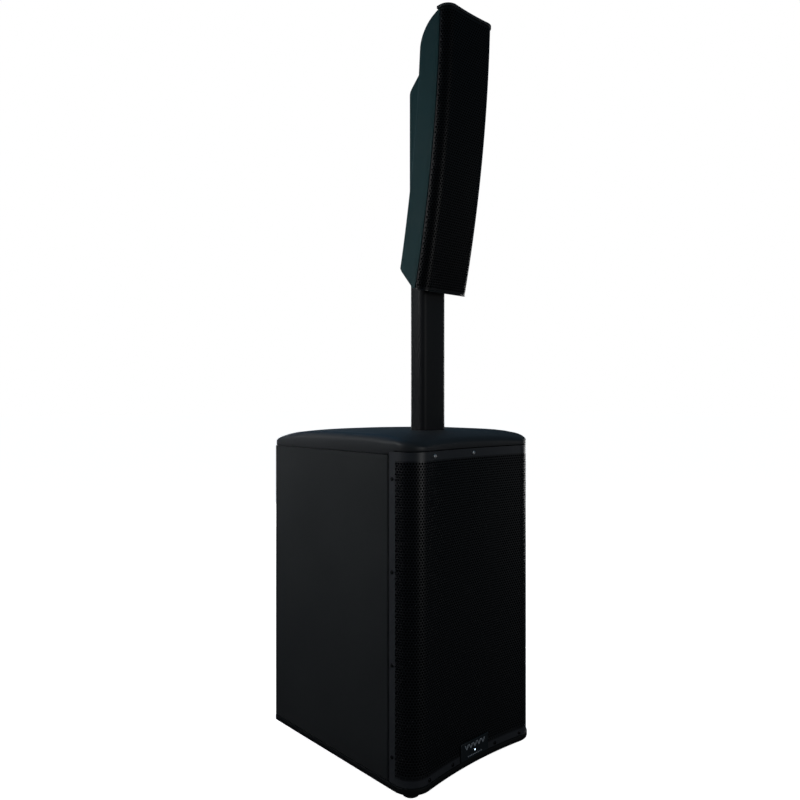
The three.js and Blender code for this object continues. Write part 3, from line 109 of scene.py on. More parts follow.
class GrilleSizes(bpy.types.PropertyGroup):
    pitch: length("Hole pitch", "Distance between neighbouring holes", 5.5 * MM, 2 * MM)
    bar: length("Bar", "Steel left between two holes", 1.35 * MM, 0.3 * MM)
    sheet: length("Sheet", "Thickness of the perforated steel", 1.2 * MM, 0.3 * MM)
    bead: length("Cabinet bead", "Radius of the cabinet's front corners", 39.3 * MM)
    hollow: length("Cabinet hollow", "Set-back of the middle of the cabinet's front", 10 * MM)
    flange: length("Flange", "Unpierced width at each side of the cabinet's grille", 14.3 * MM)
    top_strip: length("Top strip", "Unpierced height at the top of the cabinet's grille", 15 * MM)
    foot_strip: length("Foot strip", "Unpierced height at the grille's foot", 12 * MM)
    head_bead: length("Head bead", "Radius of the head's front corners", 18.9 * MM)
    head_hollow: length("Head hollow", "Set-back of the middle of the head's front", 1.75 * MM)
    head_strip: length("Head strip", "Unpierced edge of the head's grille", 1.6 * MM)


class CapSizes(bpy.types.PropertyGroup):
    side_drop: length("Side drop", "How much lower the crown is at the sides", 2.5 * MM)
    front_drop: length("Front drop", "How much lower the crown is at the front", 17 * MM)
    rear_drop: length("Rear drop", "How much lower the crown is at the back", 8 * MM)
    corner_drop: length("Corner drop", "Extra drop at the back corners", 13 * MM)
    fillet: length("Fillet", "Rounding of the cover's upper edge", 14 * MM)
    rear_radius: length("Rear radius", "Plan radius of the back corners", 6.5 * MM)


class HeadSizes(bpy.types.PropertyGroup):
    wall: length("Wall", "Thickness of the shell", 3 * MM)
    rear_round: length("Rear round", "Rounding of the shell's back corners", 8 * MM)
    top_round: length("Top round", "Radius over the back of the top", 61 * MM)
    chin: length("Chin", "Depth of the flat underside", 30 * MM)


class Finishes(bpy.types.PropertyGroup):
    paint: colour("Cabinet paint", "Textured paint of the wooden panels", (0.017, 0.018, 0.019))
    plastic: colour("Mouldings", "Grained plastic of cover, lip and handle",
                    (0.023, 0.0245, 0.0265))
    head: colour("Head shell", "Grained plastic of the head", (0.0085, 0.030, 0.033))
    steel: colour("Grille steel", "Powder coat of the perforated sheets", (0.0086, 0.0090, 0.0102))
    pole: colour("Pole", "Anodised finish of the pole", (0.012, 0.0122, 0.0135))
    rubber: colour("Rubber", "Feet, grip and buttons", (0.009, 0.009, 0.0095))
    silver: colour("Bright metal", "Screws and emblem", (0.62, 0.62, 0.62))
    light: colour("Status light", "Glow of the status light", (0.55, 0.75, 1.0))


class StageSizes(bpy.types.PropertyGroup):
    lens: FloatProperty(name="Lens", description="Focal length of the camera in millimetres",
                        default=31.14, min=10.0, subtype="DISTANCE_CAMERA")
    floor: length("Floor", "Width of the floor", 60.0, 1.0)
    turn: IntProperty(name="Sides", description="Sides of round pieces", default=48, min=12)


# ------------------------------------------------------------------ shader maths

class Value:
    """An output socket that adds Math nodes when it is used in an expression."""

    def __init__(self, surface, socket):
        self.surface, self.socket = surface, socket

    def math(self, operation, first, second):
        return self.surface.node("ShaderNodeMath", {"operation": operation}, {0: first, 1: second})

    def __add__(self, other):
        return self.math("ADD", self, other)

    def __mul__(self, other):
        return self.math("MULTIPLY", self, other)

    __radd__ = __add__
    __rmul__ = __mul__


class Surface:
    """A material with one Principled shader, whose constants sit on the shader's own sockets."""

    def __init__(self, name, base, roughness, metallic=0.0, **constants):
        self.material = bpy.data.materials.new(name)
        self.material.use_nodes = True
        self.tree = self.material.node_tree
        self.shader = self.tree.nodes["Principled BSDF"]
        self.base = (*base, 1.0)
        self.shader.inputs["Base Color"].default_value = self.base
        self.shader.inputs["Roughness"].default_value = roughness
        self.shader.inputs["Metallic"].default_value = metallic
        for key, value in constants.items():
            self.shader.inputs[key.replace("_", " ")].default_value = value
        self.places = self.node("ShaderNodeTexCoord", {}, {}, "Object")

    def node(self, kind, settings, inputs, output=0):
        """A node of this kind: its settings first, then its sockets, then the output asked for."""
        made = self.tree.nodes.new(kind)
        for key, value in settings.items():
            if key == "stops":
                for stop, (position, shade) in zip(made.color_ramp.elements, value):
                    stop.position, stop.color = position, (shade, shade, shade, 1)
            else:
                setattr(made, key, value)
        for key, value in inputs.items():
            if isinstance(value, Value):
                self.tree.links.new(value.socket, made.inputs[key])
            else:
                made.inputs[key].default_value = value
        return Value(self, made.outputs[output])

    def stretched(self, scale):
        return self.node("ShaderNodeMapping", {}, {"Vector": self.places, "Scale": scale})

    def noise(self, scale, detail=2.0, places=None):
        return self.node("ShaderNodeTexNoise", {}, {"Vector": places or self.places,
                         "Scale": scale, "Detail": detail}, "Fac")

    def cells(self, scale):
        return self.node("ShaderNodeTexVoronoi", {"feature": "SMOOTH_F1"},
                         {"Vector": self.places, "Scale": scale}, "Distance")

    def contrast(self, value, start, end):
        stops = [(start, 0.0), (end, 1.0)]
        return self.node("ShaderNodeValToRGB", {"stops": stops}, {"Fac": value}, "Color")

    def link(self, value, socket):
        self.tree.links.new(value.socket, self.shader.inputs[socket])

    def tint(self, mask, other):
        """Mixes the base colour with another one by a mask."""
        mixed = self.node("ShaderNodeMix", {"data_type": "RGBA"},
                          {"Factor": mask, 6: self.base, 7: (*other, 1.0)}, 2)
        self.link(mixed, "Base Color")

    def bump(self, height, distance, strength=1.0):
        normal = self.node("ShaderNodeBump", {}, {"Height": height, "Distance": distance,
                           "Strength": strength}, "Normal")
        self.link(normal, "Normal")


def lighter(shade, factor):
    return tuple(min(1.0, part * factor) for part in shade)


def textured_paint(name, shade):
    """Tough sprayed paint: a fine pebbled skin with faint cloudy variation."""
    made = Surface(name, shade, 0.5, Specular_IOR_Level=0.42)
    pebbles = made.cells(620.0)
    cloud = made.noise(9.0, 3.0)
    made.tint(made.contrast(cloud, 0.35, 0.7) * 0.5, lighter(shade, 1.35))
    made.link(cloud * 0.12 + 0.46, "Roughness")
    made.bump(pebbles + made.noise(1500.0, 2.0) * 0.4, 0.12 * MM, 0.55)
    return made.material


def grained_plastic(name, shade, roughness=0.42, shine=0.5):
    """Moulded plastic with spark-eroded grain, rubbed a little smoother in places."""
    made = Surface(name, shade, roughness, Specular_IOR_Level=shine)
    grain = made.noise(2100.0, 3.0)
    rubbed = made.noise(14.0, 4.0)
    made.tint(made.contrast(rubbed, 0.4, 0.75) * 0.4, lighter(shade, 1.3))
    made.link(rubbed * 0.16 + (roughness - 0.08), "Roughness")
    made.bump(grain, 0.06 * MM, 0.5)
    return made.material


def powder_coat(name, shade, roughness=0.4, shine=0.5):
    """Powder-coated steel: a low orange-peel over an even black."""
    made = Surface(name, shade, roughness, Specular_IOR_Level=shine)
    peel = made.noise(480.0, 1.0)
    made.tint(made.noise(30.0, 2.0) * 0.4, lighter(shade, 1.5))
    made.link(peel * 0.12 + (roughness - 0.06), "Roughness")
    made.bump(peel, 0.05 * MM, 0.4)
    return made.material


def brushed_metal(name, shade, roughness, metallic, along, shine=0.5):
    """Metal drawn along one axis: streaks that run the length of the piece."""
    made = Surface(name, shade, roughness, metallic, Specular_IOR_Level=shine)
    scale = tuple(3.0 if axis == along else 900.0 for axis in "XYZ")
    streaks = made.noise(1.0, 2.0, made.stretched(scale))
    made.tint(streaks * 0.5, lighter(shade, 1.25))
    made.link(streaks * 0.14 + (roughness - 0.07), "Roughness")
    made.bump(streaks, 0.01 * MM, 0.35)
    return made.material


def soft_rubber(name, shade):
    """Matt rubber with a dusty bloom."""
    made = Surface(name, shade, 0.8, Specular_IOR_Level=0.35)
    bloom = made.noise(60.0, 5.0)
    made.tint(made.contrast(bloom, 0.5, 0.8) * 0.5, lighter(shade, 2.0))
    made.link(bloom * 0.2 + 0.68, "Roughness")
    made.bump(made.noise(900.0, 2.0), 0.08 * MM, 0.5)
    return made.material


def open_foam(name, shade):
    """Reticulated foam: small open cells."""
    made = Surface(name, shade, 1.0, Specular_IOR_Level=0.1)
    pores = made.cells(900.0)
    made.tint(pores * 0.8, lighter(shade, 2.2))
    made.bump(pores, 0.4 * MM, 0.8)
    return made.material


def cast_metal(name, shade, metallic=0.8):
    """Cast or sintered metal with a coarse skin."""
    made = Surface(name, shade, 0.5, metallic)
    skin = made.noise(420.0, 4.0)
    made.tint(skin * 0.6, lighter(shade, 1.4))
    made.link(skin * 0.25 + 0.38, "Roughness")
    made.bump(skin, 0.1 * MM, 0.5)
    return made.material


def pressed_paper(name, shade):
    """Fibrous cone paper."""
    made = Surface(name, shade, 0.85, Specular_IOR_Level=0.25)
    fibres = made.noise(1.0, 4.0, made.stretched((500.0, 160.0, 500.0)))
    made.tint(fibres * 0.7, lighter(shade, 1.8))
    made.bump(fibres, 0.15 * MM, 0.6)
    return made.material


def layered_wood(name, shade):
    """Bare plywood: pale and dark plies with a soft figure."""
    made = Surface(name, shade, 0.7, Specular_IOR_Level=0.3)
    figure = made.noise(1.0, 5.0, made.stretched((9.0, 9.0, 260.0)))
    made.tint(figure * 0.8, lighter(shade, 0.55))
    made.bump(figure, 0.1 * MM, 0.4)
    return made.material


def glossy(name, shade, roughness=0.12, **constants):
    """Polished plastic or lacquer with faint wipe marks."""
    made = Surface(name, shade, roughness, **constants)
    wiped = made.noise(40.0, 4.0)
    made.link(wiped * 0.1 + (roughness - 0.04), "Roughness")
    made.tint(wiped * 0.3, lighter(shade, 1.3))
    return made.material


def glowing(name, shade, strength):
    made = Surface(name, shade, 0.3, Emission_Strength=strength)
    core = made.node("ShaderNodeMix", {"data_type": "RGBA"},
                     {"Factor": made.noise(300.0, 1.0) * 0.3, 6: (*shade, 1), 7: (1, 1, 1, 1)}, 2)
    made.link(core, "Emission Color")
    return made.material


def printed_board(name, shade):
    """Circuit board lacquer with copper tracks under it."""
    made = Surface(name, shade, 0.35)
    tracks = made.node("ShaderNodeTexBrick", {}, {"Vector": made.places, "Scale": 90.0}, "Fac")
    made.tint(tracks * 0.5, lighter(shade, 1.8))
    made.bump(tracks, 0.05 * MM, 0.4)
    return made.material


def display_glass(name):
    """Dark glass over a blue picture of level bars."""
    made = Surface(name, (0.004, 0.008, 0.014), 0.08, Coat_Weight=0.6, Emission_Strength=0.8)
    bars = made.node("ShaderNodeTexWave", {"wave_type": "BANDS", "bands_direction": "X"},
                     {"Vector": made.places, "Scale": 95.0}, "Fac")
    rows = made.node("ShaderNodeTexWave", {"wave_type": "BANDS", "bands_direction": "Z"},
                     {"Vector": made.places, "Scale": 160.0}, "Fac")
    lit = made.contrast(bars, 0.55, 0.62) * made.contrast(rows, 0.3, 0.4)
    picture = made.node("ShaderNodeMix", {"data_type": "RGBA"},
                        {"Factor": lit * 0.8, 6: (0, 0.004, 0.01, 1), 7: (0.05, 0.35, 0.9, 1)}, 2)
    made.link(picture, "Emission Color")
    made.link(made.noise(50.0, 3.0) * 0.08 + 0.05, "Roughness")
    return made.material


FINISHES = {}


def finishes():
    """Every finish of the object by name, made once."""
    if not FINISHES:
        shades = bpy.context.scene.column_finishes
        FINISHES.update({
            "paint": textured_paint("textured_paint", shades.paint),
            "plastic": grained_plastic("grained_plastic", shades.plastic, 0.5),
            # painted shade: the tray is a darker, duller copy of the moulding plastic, standing in
            # for the shadow along the cabinet's foot
            "tray": grained_plastic("tray_plastic", lighter(shades.plastic, 0.2), 0.62, 0.2),
            "head": grained_plastic("head_plastic", shades.head, 0.72),
            # painted shade: the head grille's steel is a darker, duller copy of the grille steel,
            # so its front stays as dim as a shaded face
            "head_steel": powder_coat("head_steel", lighter(shades.steel, 0.3), 0.45, 0.3),
            "lining": open_foam("lining_cloth", (0.0035, 0.0035, 0.004)),
            "emblem": glossy("silver_print", (0.5, 0.52, 0.55), 0.3, Metallic=0.25),
            "satin": grained_plastic("satin_plastic", lighter(shades.plastic, 0.45), 0.3),
            "steel": powder_coat("powder_coated_steel", shades.steel),
            # painted light: the plain border is a lighter copy of the grille steel, so the
            # unpierced strips look lit
            "border": powder_coat("plain_steel", lighter(shades.steel, 3.4), 0.42),
            "panel": powder_coat("panel_steel", lighter(shades.steel, 1.4), 0.46),
            "pole": brushed_metal("anodised_pole", shades.pole, 0.5, 0.0, "Z", 0.25),
            "rubber": soft_rubber("soft_rubber", shades.rubber),
            "foam": open_foam("open_foam", (0.0022, 0.0022, 0.0024)),
            "silver": brushed_metal("bright_zinc", shades.silver, 0.3, 1.0, "X"),
            "black_screw": brushed_metal("blackened_screw", (0.012, 0.012, 0.013), 0.35, 0.8, "X"),
            "casting": cast_metal("cast_aluminium", (0.12, 0.12, 0.125)),
            "ferrite": cast_metal("ferrite", (0.025, 0.025, 0.027), 0.2),
            "copper": brushed_metal("copper_winding", (0.5, 0.17, 0.07), 0.35, 1.0, "X"),
            "paper": pressed_paper("cone_paper", (0.012, 0.012, 0.013)),
            "wood": layered_wood("plywood", (0.32, 0.2, 0.11)),
            "badge": glossy("badge_lacquer", (0.014, 0.018, 0.021), 0.3, Coat_Weight=0.3),
            "board": printed_board("circuit_board", (0.01, 0.06, 0.025)),
            "display": display_glass("display_glass"),
            "red": glossy("red_rocker", (0.3, 0.012, 0.01), 0.2),
            "light": glowing("status_glow", shades.light, 2.6),
            "green_light": glowing("signal_glow", (0.1, 0.8, 0.2), 1.2),
            "print": glossy("white_print", (0.42, 0.43, 0.44), 0.5),
            "fins": brushed_metal("anodised_fins", (0.016, 0.016, 0.018), 0.42, 0.6, "Z"),
        })
    return FINISHES


# ------------------------------------------------------------------ modelling by hand

def only(piece):
    bpy.ops.object.select_all(action="DESELECT")
    piece.select_set(True)
    bpy.context.view_layer.objects.active = piece


@contextmanager
def editing(piece, select="DESELECT"):
    """Edit mode on one piece, with all or nothing of it selected."""
    only(piece)
    bpy.ops.object.mode_set(mode="EDIT")
    bpy.ops.mesh.select_mode(type="VERT")
    bpy.ops.mesh.select_all(action=select)
    yield bmesh.from_edit_mesh(piece.data)
    bpy.ops.object.mode_set(mode="OBJECT")


def settle(name):
    """Names the new primitive and puts its place in its mesh."""
    piece = bpy.context.object
    piece.name = piece.data.name = name
    only(piece)
    bpy.ops.object.transform_apply(location=True, rotation=True, scale=True)
    return piece


def modify(piece, kind, **settings):
    """Adds one modifier with these settings and applies it."""
    only(piece)
    modifier = piece.modifiers.new(kind.title(), kind)
    for key, value in settings.items():
        setattr(modifier, key, value)
    bpy.ops.object.modifier_apply(modifier=modifier.name)
    return piece


def weld(piece, outwards=True):
    """Merges points that lie together and, if asked, turns the faces outwards."""
    with editing(piece, "SELECT"):
        bpy.ops.mesh.remove_doubles(threshold=WELD_DISTANCE)
        if outwards:
            bpy.ops.mesh.normals_make_consistent(inside=False)
    return piece


def start(adder, **settings):
    bpy.ops.object.select_all(action="DESELECT")
    adder(**settings)


def surface(name, columns, rows, place):
    """A grid whose corners are put by place(column, row), welded where they meet."""
    start(bpy.ops.mesh.primitive_grid_add, x_subdivisions=columns, y_subdivisions=rows, size=1)
    piece = settle(name)
    for vertex in piece.data.vertices:
        column = round((vertex.co.x + 0.5) * columns)
        row = round((vertex.co.y + 0.5) * rows)
        vertex.co = place(column, row)
    return weld(piece)


def turned(name, profile, foot=(0, 0, 0), axis=(0, 0, 1), sides=None):
    """A profile of (radius, height) drawn point by point and spun round an axis at the foot."""
    sides = sides or bpy.context.scene.column_stage.turn
    start(bpy.ops.mesh.primitive_plane_add, size=1 * MM)
    piece = settle(name)
    with editing(piece, "SELECT"):
        bpy.ops.mesh.merge(type="CENTER")
        steps = zip([(0, 0), *profile], profile)
        for number, ((radius, height), (next_radius, next_height)) in enumerate(steps):
            move = {"value": (next_radius - radius, 0, next_height - height)}
            if number:
                bpy.ops.mesh.extrude_vertices_move(TRANSFORM_OT_translate=move)
            else:
                bpy.ops.transform.translate(**move)
        bpy.ops.mesh.select_all(action="SELECT")
        bpy.ops.mesh.spin(steps=sides, angle=math.tau, center=(0, 0, 0), axis=(0, 0, 1))
    weld(piece)
    piece.rotation_mode = "QUATERNION"
    piece.rotation_quaternion = Vector((0, 0, 1)).rotation_difference(Vector(axis))
    piece.location = foot
    only(piece)
    bpy.ops.object.transform_apply(location=True, rotation=True, scale=True)
    return piece


def slab(name, lowest, highest, rounding=0.0, segments=3):
    """A block between two corners, its edges rounded."""
    lowest, highest = Vector(lowest), Vector(highest)
    start(bpy.ops.mesh.primitive_cube_add, size=1, location=(lowest + highest) / 2,
          scale=highest - lowest)
    piece = settle(name)
    if rounding:
        modify(piece, "BEVEL", width=rounding, segments=segments, limit_method="NONE")
    return piece


def plate(name, outline, thickness, place, rounding=0.0):
    """An outline filled and extruded, its edges rounded, each point then put by place."""
    start(bpy.ops.mesh.primitive_circle_add, vertices=len(outline), radius=1, fill_type="NGON")
    piece = settle(name)
    for vertex, (x, y) in zip(piece.data.vertices, outline):
        vertex.co = (x, y, 0)
    with editing(piece, "SELECT"):
        bpy.ops.mesh.extrude_region_move(
            TRANSFORM_OT_translate={"value": (0, 0, thickness)})
    weld(piece)
    if rounding:
        modify(piece, "BEVEL", width=rounding, segments=3, limit_method="ANGLE",
               angle_limit=math.radians(50))
    for vertex in piece.data.vertices:
        vertex.co = place(*vertex.co)
    return piece


def cut_by(piece, *cutters):
    """Takes the cutters out of a piece and removes them."""
    for cutter in cutters:
        modify(piece, "BOOLEAN", object=cutter, operation="DIFFERENCE", solver="EXACT")
        bpy.data.objects.remove(cutter)
    return piece


def choose(shape, kind, test):
    """Selects, in edit mode, the faces, edges or vertices that pass a test."""
    for part in getattr(shape, kind):
        if test(part):
            part.select = True
    shape.select_flush_mode()


def copy_of(piece, name, offset):
    """A copy with its own mesh, moved by an offset."""
    only(piece)
    bpy.ops.object.duplicate(linked=False)
    made = bpy.context.object
    made.location = offset
    made.name = made.data.name = name
    bpy.ops.object.transform_apply(location=True, rotation=True, scale=True)
    return made


def softened(node, name, rounding):
    """A copy of a model node with merged faces and rounded edges."""
    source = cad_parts[node]
    piece = bpy.data.objects.new(name, source.data.copy())
    bpy.context.collection.objects.link(piece)
    piece.data.materials.clear()
    with editing(piece, "SELECT"):
        bpy.ops.mesh.remove_doubles(threshold=WELD_DISTANCE)
        bpy.ops.mesh.dissolve_limited(angle_limit=math.radians(1))
    modify(piece, "BEVEL", width=rounding, segments=2, limit_method="ANGLE",
           angle_limit=math.radians(35), use_clamp_overlap=True)
    return piece


def done(piece, finish, body, slot, *nodes, smooth=35):
    """Gives a finished piece its finish, its body and the nodes it stands for; the slot is not
    used.
    """
    only(piece)
    bpy.ops.object.shade_smooth_by_angle(angle=math.radians(smooth))
    piece.data.materials.clear()
    piece.data.materials.append(finishes()[finish])
    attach(piece, body)
    if nodes:
        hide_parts(*nodes)
    return piece


# ------------------------------------------------------------------ plan outlines

class Outline:
    """Straight and round stretches in plan, run anticlockwise, with the way in at each place."""

    def __init__(self):
        self.stretches = []
        self.length = 0.0

    def add(self, size, place, count):
        self.stretches.append((self.length, size, place, count))
        self.length += size

    def line(self, begin, end, count):
        begin, end = Vector(begin), Vector(end)
        ahead = (end - begin).normalized()
        inward = Vector((-ahead.y, ahead.x))
        self.add((end - begin).length, lambda along: (begin + ahead * along, inward), count)

    def arc(self, centre, radius, begin, turn, count):
        side = math.copysign(1, turn)

        def place(along):
            angle = begin + side * along / radius
            out = Vector((math.cos(angle), math.sin(angle)))
            return Vector(centre) + out * radius, -out * side

        self.add(radius * abs(turn), place, count)

    def at(self, distance):
        distance = min(max(distance, 0.0), self.length)
        for begin, size, place, _ in reversed(self.stretches):
            if distance >= begin:
                return place(min(distance - begin, size))
        return self.stretches[0][2](0.0)

    def samples(self):
        """Places along the outline, each stretch shared out by its own count."""
        found = []
        for _, size, place, count in self.stretches:
            found += [place(size * k / count) for k in range(count)]
        _, size, place, _ = self.stretches[-1]
        return [*found, place(size)]


def beaded_front(half, bead, hollow, sides):
    """Side, bead, shallow hollow, bead and side, with y measured back from the front."""
    bead_x = half - bead
    hollow_radius = (bead_x ** 2 + hollow ** 2 - 2 * bead * hollow) / (2 * hollow)
    turn = math.atan2(bead_x, bead - hollow + hollow_radius)
    quarter = math.pi / 2
    outline = Outline()
    outline.line((-half, sides), (-half, bead), 14)
    outline.arc((-bead_x, bead), bead, math.pi, quarter + turn, 28)
    outline.arc((0, hollow - hollow_radius), hollow_radius, quarter + turn, -2 * turn, 28)
    outline.arc((bead_x, bead), bead, -quarter - turn, quarter + turn, 28)
    outline.line((half, bead), (half, sides), 14)
    return outline


def cabinet_plan(overhang=0.0):
    """The whole cabinet: beaded front, straight sides and rounded back corners."""
    sizes, cap = bpy.context.scene.column_grille, bpy.context.scene.column_cap
    half, depth = HALF_WIDTH + overhang, 2 * (REAR + overhang)
    radius, quarter = max(cap.rear_radius + overhang, 0.8 * MM), math.pi / 2
    outline = beaded_front(half, sizes.bead + overhang, sizes.hollow, depth - radius)
    first = outline.stretches.pop(0)
    outline.stretches = [(begin - first[1], *rest) for begin, *rest in outline.stretches]
    outline.length -= first[1]
    outline.arc((half - radius, depth - radius), radius, 0, quarter, 7)
    outline.line((half - radius, depth), (radius - half, depth), 16)
    outline.arc((radius - half, depth - radius), radius, quarter, quarter, 7)
    outline.line((-half, depth - radius), (-half, sizes.bead + overhang), 14)
    return outline


def inset_point(sample, inset):
    point, inward = sample
    return point + inward * inset


# ------------------------------------------------------------------ places on the head

def arc_angle(height):
    return math.asin((HEAD_CREST - height) / HEAD_ARC)


def on_head(x, depth, height):
    """A place at a depth behind the head's front, square to its arc at a height."""
    angle = arc_angle(height)
    reach = HEAD_ARC - depth
    return Vector((x, ARC_BACK - reach * math.cos(angle), HEAD_CREST - reach * math.sin(angle)))


def front_at(height):
    return on_head(0, 0, height).y


# ------------------------------------------------------------------ perforated sheets

def cells(pierced, corner, across, up):
    """Rows and columns of hexagonal cells in a flat sheet, plain or with a round hole."""
    sizes = bpy.context.scene.column_grille
    pitch, hole = sizes.pitch, (sizes.pitch - sizes.bar) / 2
    start(bpy.ops.mesh.primitive_circle_add, vertices=6, radius=pitch / math.sqrt(3),
          fill_type="NGON")
    piece = settle("cell")
    if pierced:
        with editing(piece, "SELECT"):
            bpy.ops.mesh.inset(thickness=sizes.bar / 2, depth=0)
            bpy.ops.mesh.delete(type="ONLY_FACE")
            shape = bmesh.from_edit_mesh(piece.data)
            choose(shape, "verts", lambda vertex: vertex.co.length < pitch * 0.5)
            bpy.ops.mesh.subdivide(number_cuts=1)
            shape = bmesh.from_edit_mesh(piece.data)
            for vertex in shape.verts:
                if vertex.co.length < pitch * 0.5:
                    vertex.co = vertex.co.normalized() * hole
    modify(piece, "ARRAY", count=across, use_relative_offset=False, use_constant_offset=True,
           constant_offset_displace=(pitch, 0, 0))
    modify(piece, "ARRAY", count=up, use_relative_offset=False, use_constant_offset=True,
           constant_offset_displace=(0, pitch * math.sqrt(3), 0))
    piece.location = (corner[0] * pitch, corner[1] * pitch * math.sqrt(3), 0)
    only(piece)
    bpy.ops.object.transform_apply(location=True, rotation=True, scale=True)
    return piece


def honeycomb(name, columns, rows, width, height, ends, sheet):
    """A sheet of whole round holes, with plain half cells where an end is closed."""
    pitch = bpy.context.scene.column_grille.pitch
    rise = pitch * math.sqrt(3)
    first, last = (0 if closed else -1 for closed in ends)
    odd_rows = rows // 2
    parts = [cells(True, (0, 0), columns, odd_rows + 1),
             cells(True, (first + 0.5, 0.5), columns - 1 - first - last, odd_rows),
             cells(False, (-0.5, -0.5), columns + 1, 1),
             cells(False, (-0.5, odd_rows + 0.5), columns + 1, 1)]
    parts += [cells(False, (place, 0.5), 1, odd_rows)
              for closed, place in zip(ends, (-0.5, columns - 0.5)) if closed]
    piece = joined(name, parts)
    weld(piece, outwards=False)
    left, right = -pitch / 2, (columns - 0.5) * pitch
    foot, head = -rise / 2, (odd_rows + 0.5) * rise
    with editing(piece, "SELECT"):
        for place, way in (((left, 0, 0), (-1, 0, 0)), ((right, 0, 0), (1, 0, 0)),
                           ((0, foot, 0), (0, -1, 0)), ((0, head, 0), (0, 1, 0))):
            bpy.ops.mesh.select_all(action="SELECT")
            bpy.ops.mesh.bisect(plane_co=place, plane_no=way, clear_outer=True)
    for vertex in piece.data.vertices:
        vertex.co.x = (vertex.co.x - left) * width / (right - left)
        vertex.co.y = (vertex.co.y - foot) * height / (head - foot)
    modify(piece, "SOLIDIFY", thickness=sheet, offset=-1)
    return piece


def strip(name, width, height, sheet, step=3 * MM):
    """A plain flat sheet, divided across so that it can be bent."""
    start(bpy.ops.mesh.primitive_grid_add, x_subdivisions=max(1, round(width / step)),
          y_subdivisions=max(1, round(height / (12 * MM))), size=1)
    piece = settle(name)
    for vertex in piece.data.vertices:
        vertex.co = ((vertex.co.x + 0.5) * width, (vertex.co.y + 0.5) * height, 0)
    return modify(piece, "SOLIDIFY", thickness=sheet, offset=-1)


def bend(piece, place, across=0.0, up=0.0):
    """Puts each point of a flat sheet by place(across, up, depth below the outer face)."""
    for vertex in piece.data.vertices:
        x, y, z = vertex.co
        vertex.co = place(x + across, y + up, -z)
    return weld(piece)


def joined(name, pieces):
    bpy.ops.object.select_all(action="DESELECT")
    for piece in pieces:
        piece.select_set(True)
    bpy.context.view_layer.objects.active = pieces[0]
    bpy.ops.object.join()
    pieces[0].name = pieces[0].data.name = name
    return pieces[0]


def framed_grille(name, outline, place, low_end, high_end, edges, parts, body, node, coats):
    """A perforated sheet with plain edges, bent round an outline between two heights."""
    sizes = bpy.context.scene.column_grille
    side, top, foot = edges
    width, height = outline.length, high_end - low_end
    field_width, field_height = width - 2 * side, height - top - foot
    columns = round(field_width / sizes.pitch / parts)
    rows = 2 * round(field_height / sizes.pitch / math.sqrt(3)) - 1
    share = field_width / parts
    for part in range(parts):
        ends = (part == 0, part == parts - 1)
        sheet = honeycomb(f"{name}_mesh_{part + 1}", columns, rows, share, field_height, ends,
                          sizes.sheet)
        bend(sheet, place, side + part * share, low_end + foot)
        done(sheet, coats[0], body, "black_steel", *([node] if part == 0 else []), smooth=25)
    border = joined(f"{name}_border", [
        bend(strip("left", side, height, sizes.sheet), place, 0, low_end),
        bend(strip("right", side, height, sizes.sheet), place, width - side, low_end),
        bend(strip("top", field_width, top, sizes.sheet), place, side, high_end - top),
        bend(strip("foot", field_width, foot, sizes.sheet), place, side, low_end)])
    return done(border, coats[1], body, "black_steel", smooth=40)


# ------------------------------------------------------------------ fasteners

def cross_screw(name, radius, rise, place, out, finish, body, slot):
    """A pan-head screw with a cross recess, its head standing on a face."""
    out = Vector(out)
    profile = [(0, -2 * MM), (radius * 0.5, -2 * MM), (radius * 0.5, 0), (radius, 0),
               (radius, rise * 0.35), (radius * 0.93, rise * 0.62), (radius * 0.74, rise * 0.86),
               (radius * 0.4, rise), (0, rise)]
    head = turned(name, profile, sides=24)
    wide, slim = radius * 1.15 / 2, radius * 0.26 / 2
    cut_by(head, *(slab("bit", (-x, -y, rise * 0.35), (x, y, rise * 2))
                   for x, y in ((wide, slim), (slim, wide))))
    turn = Vector((0, 0, 1)).rotation_difference(out)
    for vertex in head.data.vertices:
        vertex.co = turn @ vertex.co + Vector(place)
    return done(head, finish, body, slot)


def screw_row(name, first, places, finish, body, slot, out, radius=4 * MM, rise=2.4 * MM):
    """One screw modelled, then copied to every other place."""
    head = cross_screw(f"{name}_1", radius, rise, places[0], out, finish, body, slot)
    for number, place in enumerate(places[1:], first + 1):
        twin = copy_of(head, f"{name}_{number}", Vector(place) - Vector(places[0]))
        done(twin, finish, body, slot)


# ------------------------------------------------------------------ operators

class MODEL_OT_cabinet_grille(bpy.types.Operator):
    """Wrapped perforated steel front of the bass cabinet"""
    bl_idname = "column.cabinet_grille"
    bl_label = "Cabinet grille"

    def execute(self, context):
        sizes = context.scene.column_grille
        outline = beaded_front(HALF_WIDTH, sizes.bead, sizes.hollow, FLANGE_END)

        def place(across, up, depth):
            point = inset_point(outline.at(across), depth)
            return Vector((point.x, FRONT + point.y, up))

        framed_grille("cabinet_grille", outline, place, low("cabinet_grille").z, GRILLE_TOP,
                      (sizes.flange, sizes.top_strip, sizes.foot_strip), 4, "cabinet",
                      "cabinet_grille", ("steel", "border"))
        return {"FINISHED"}


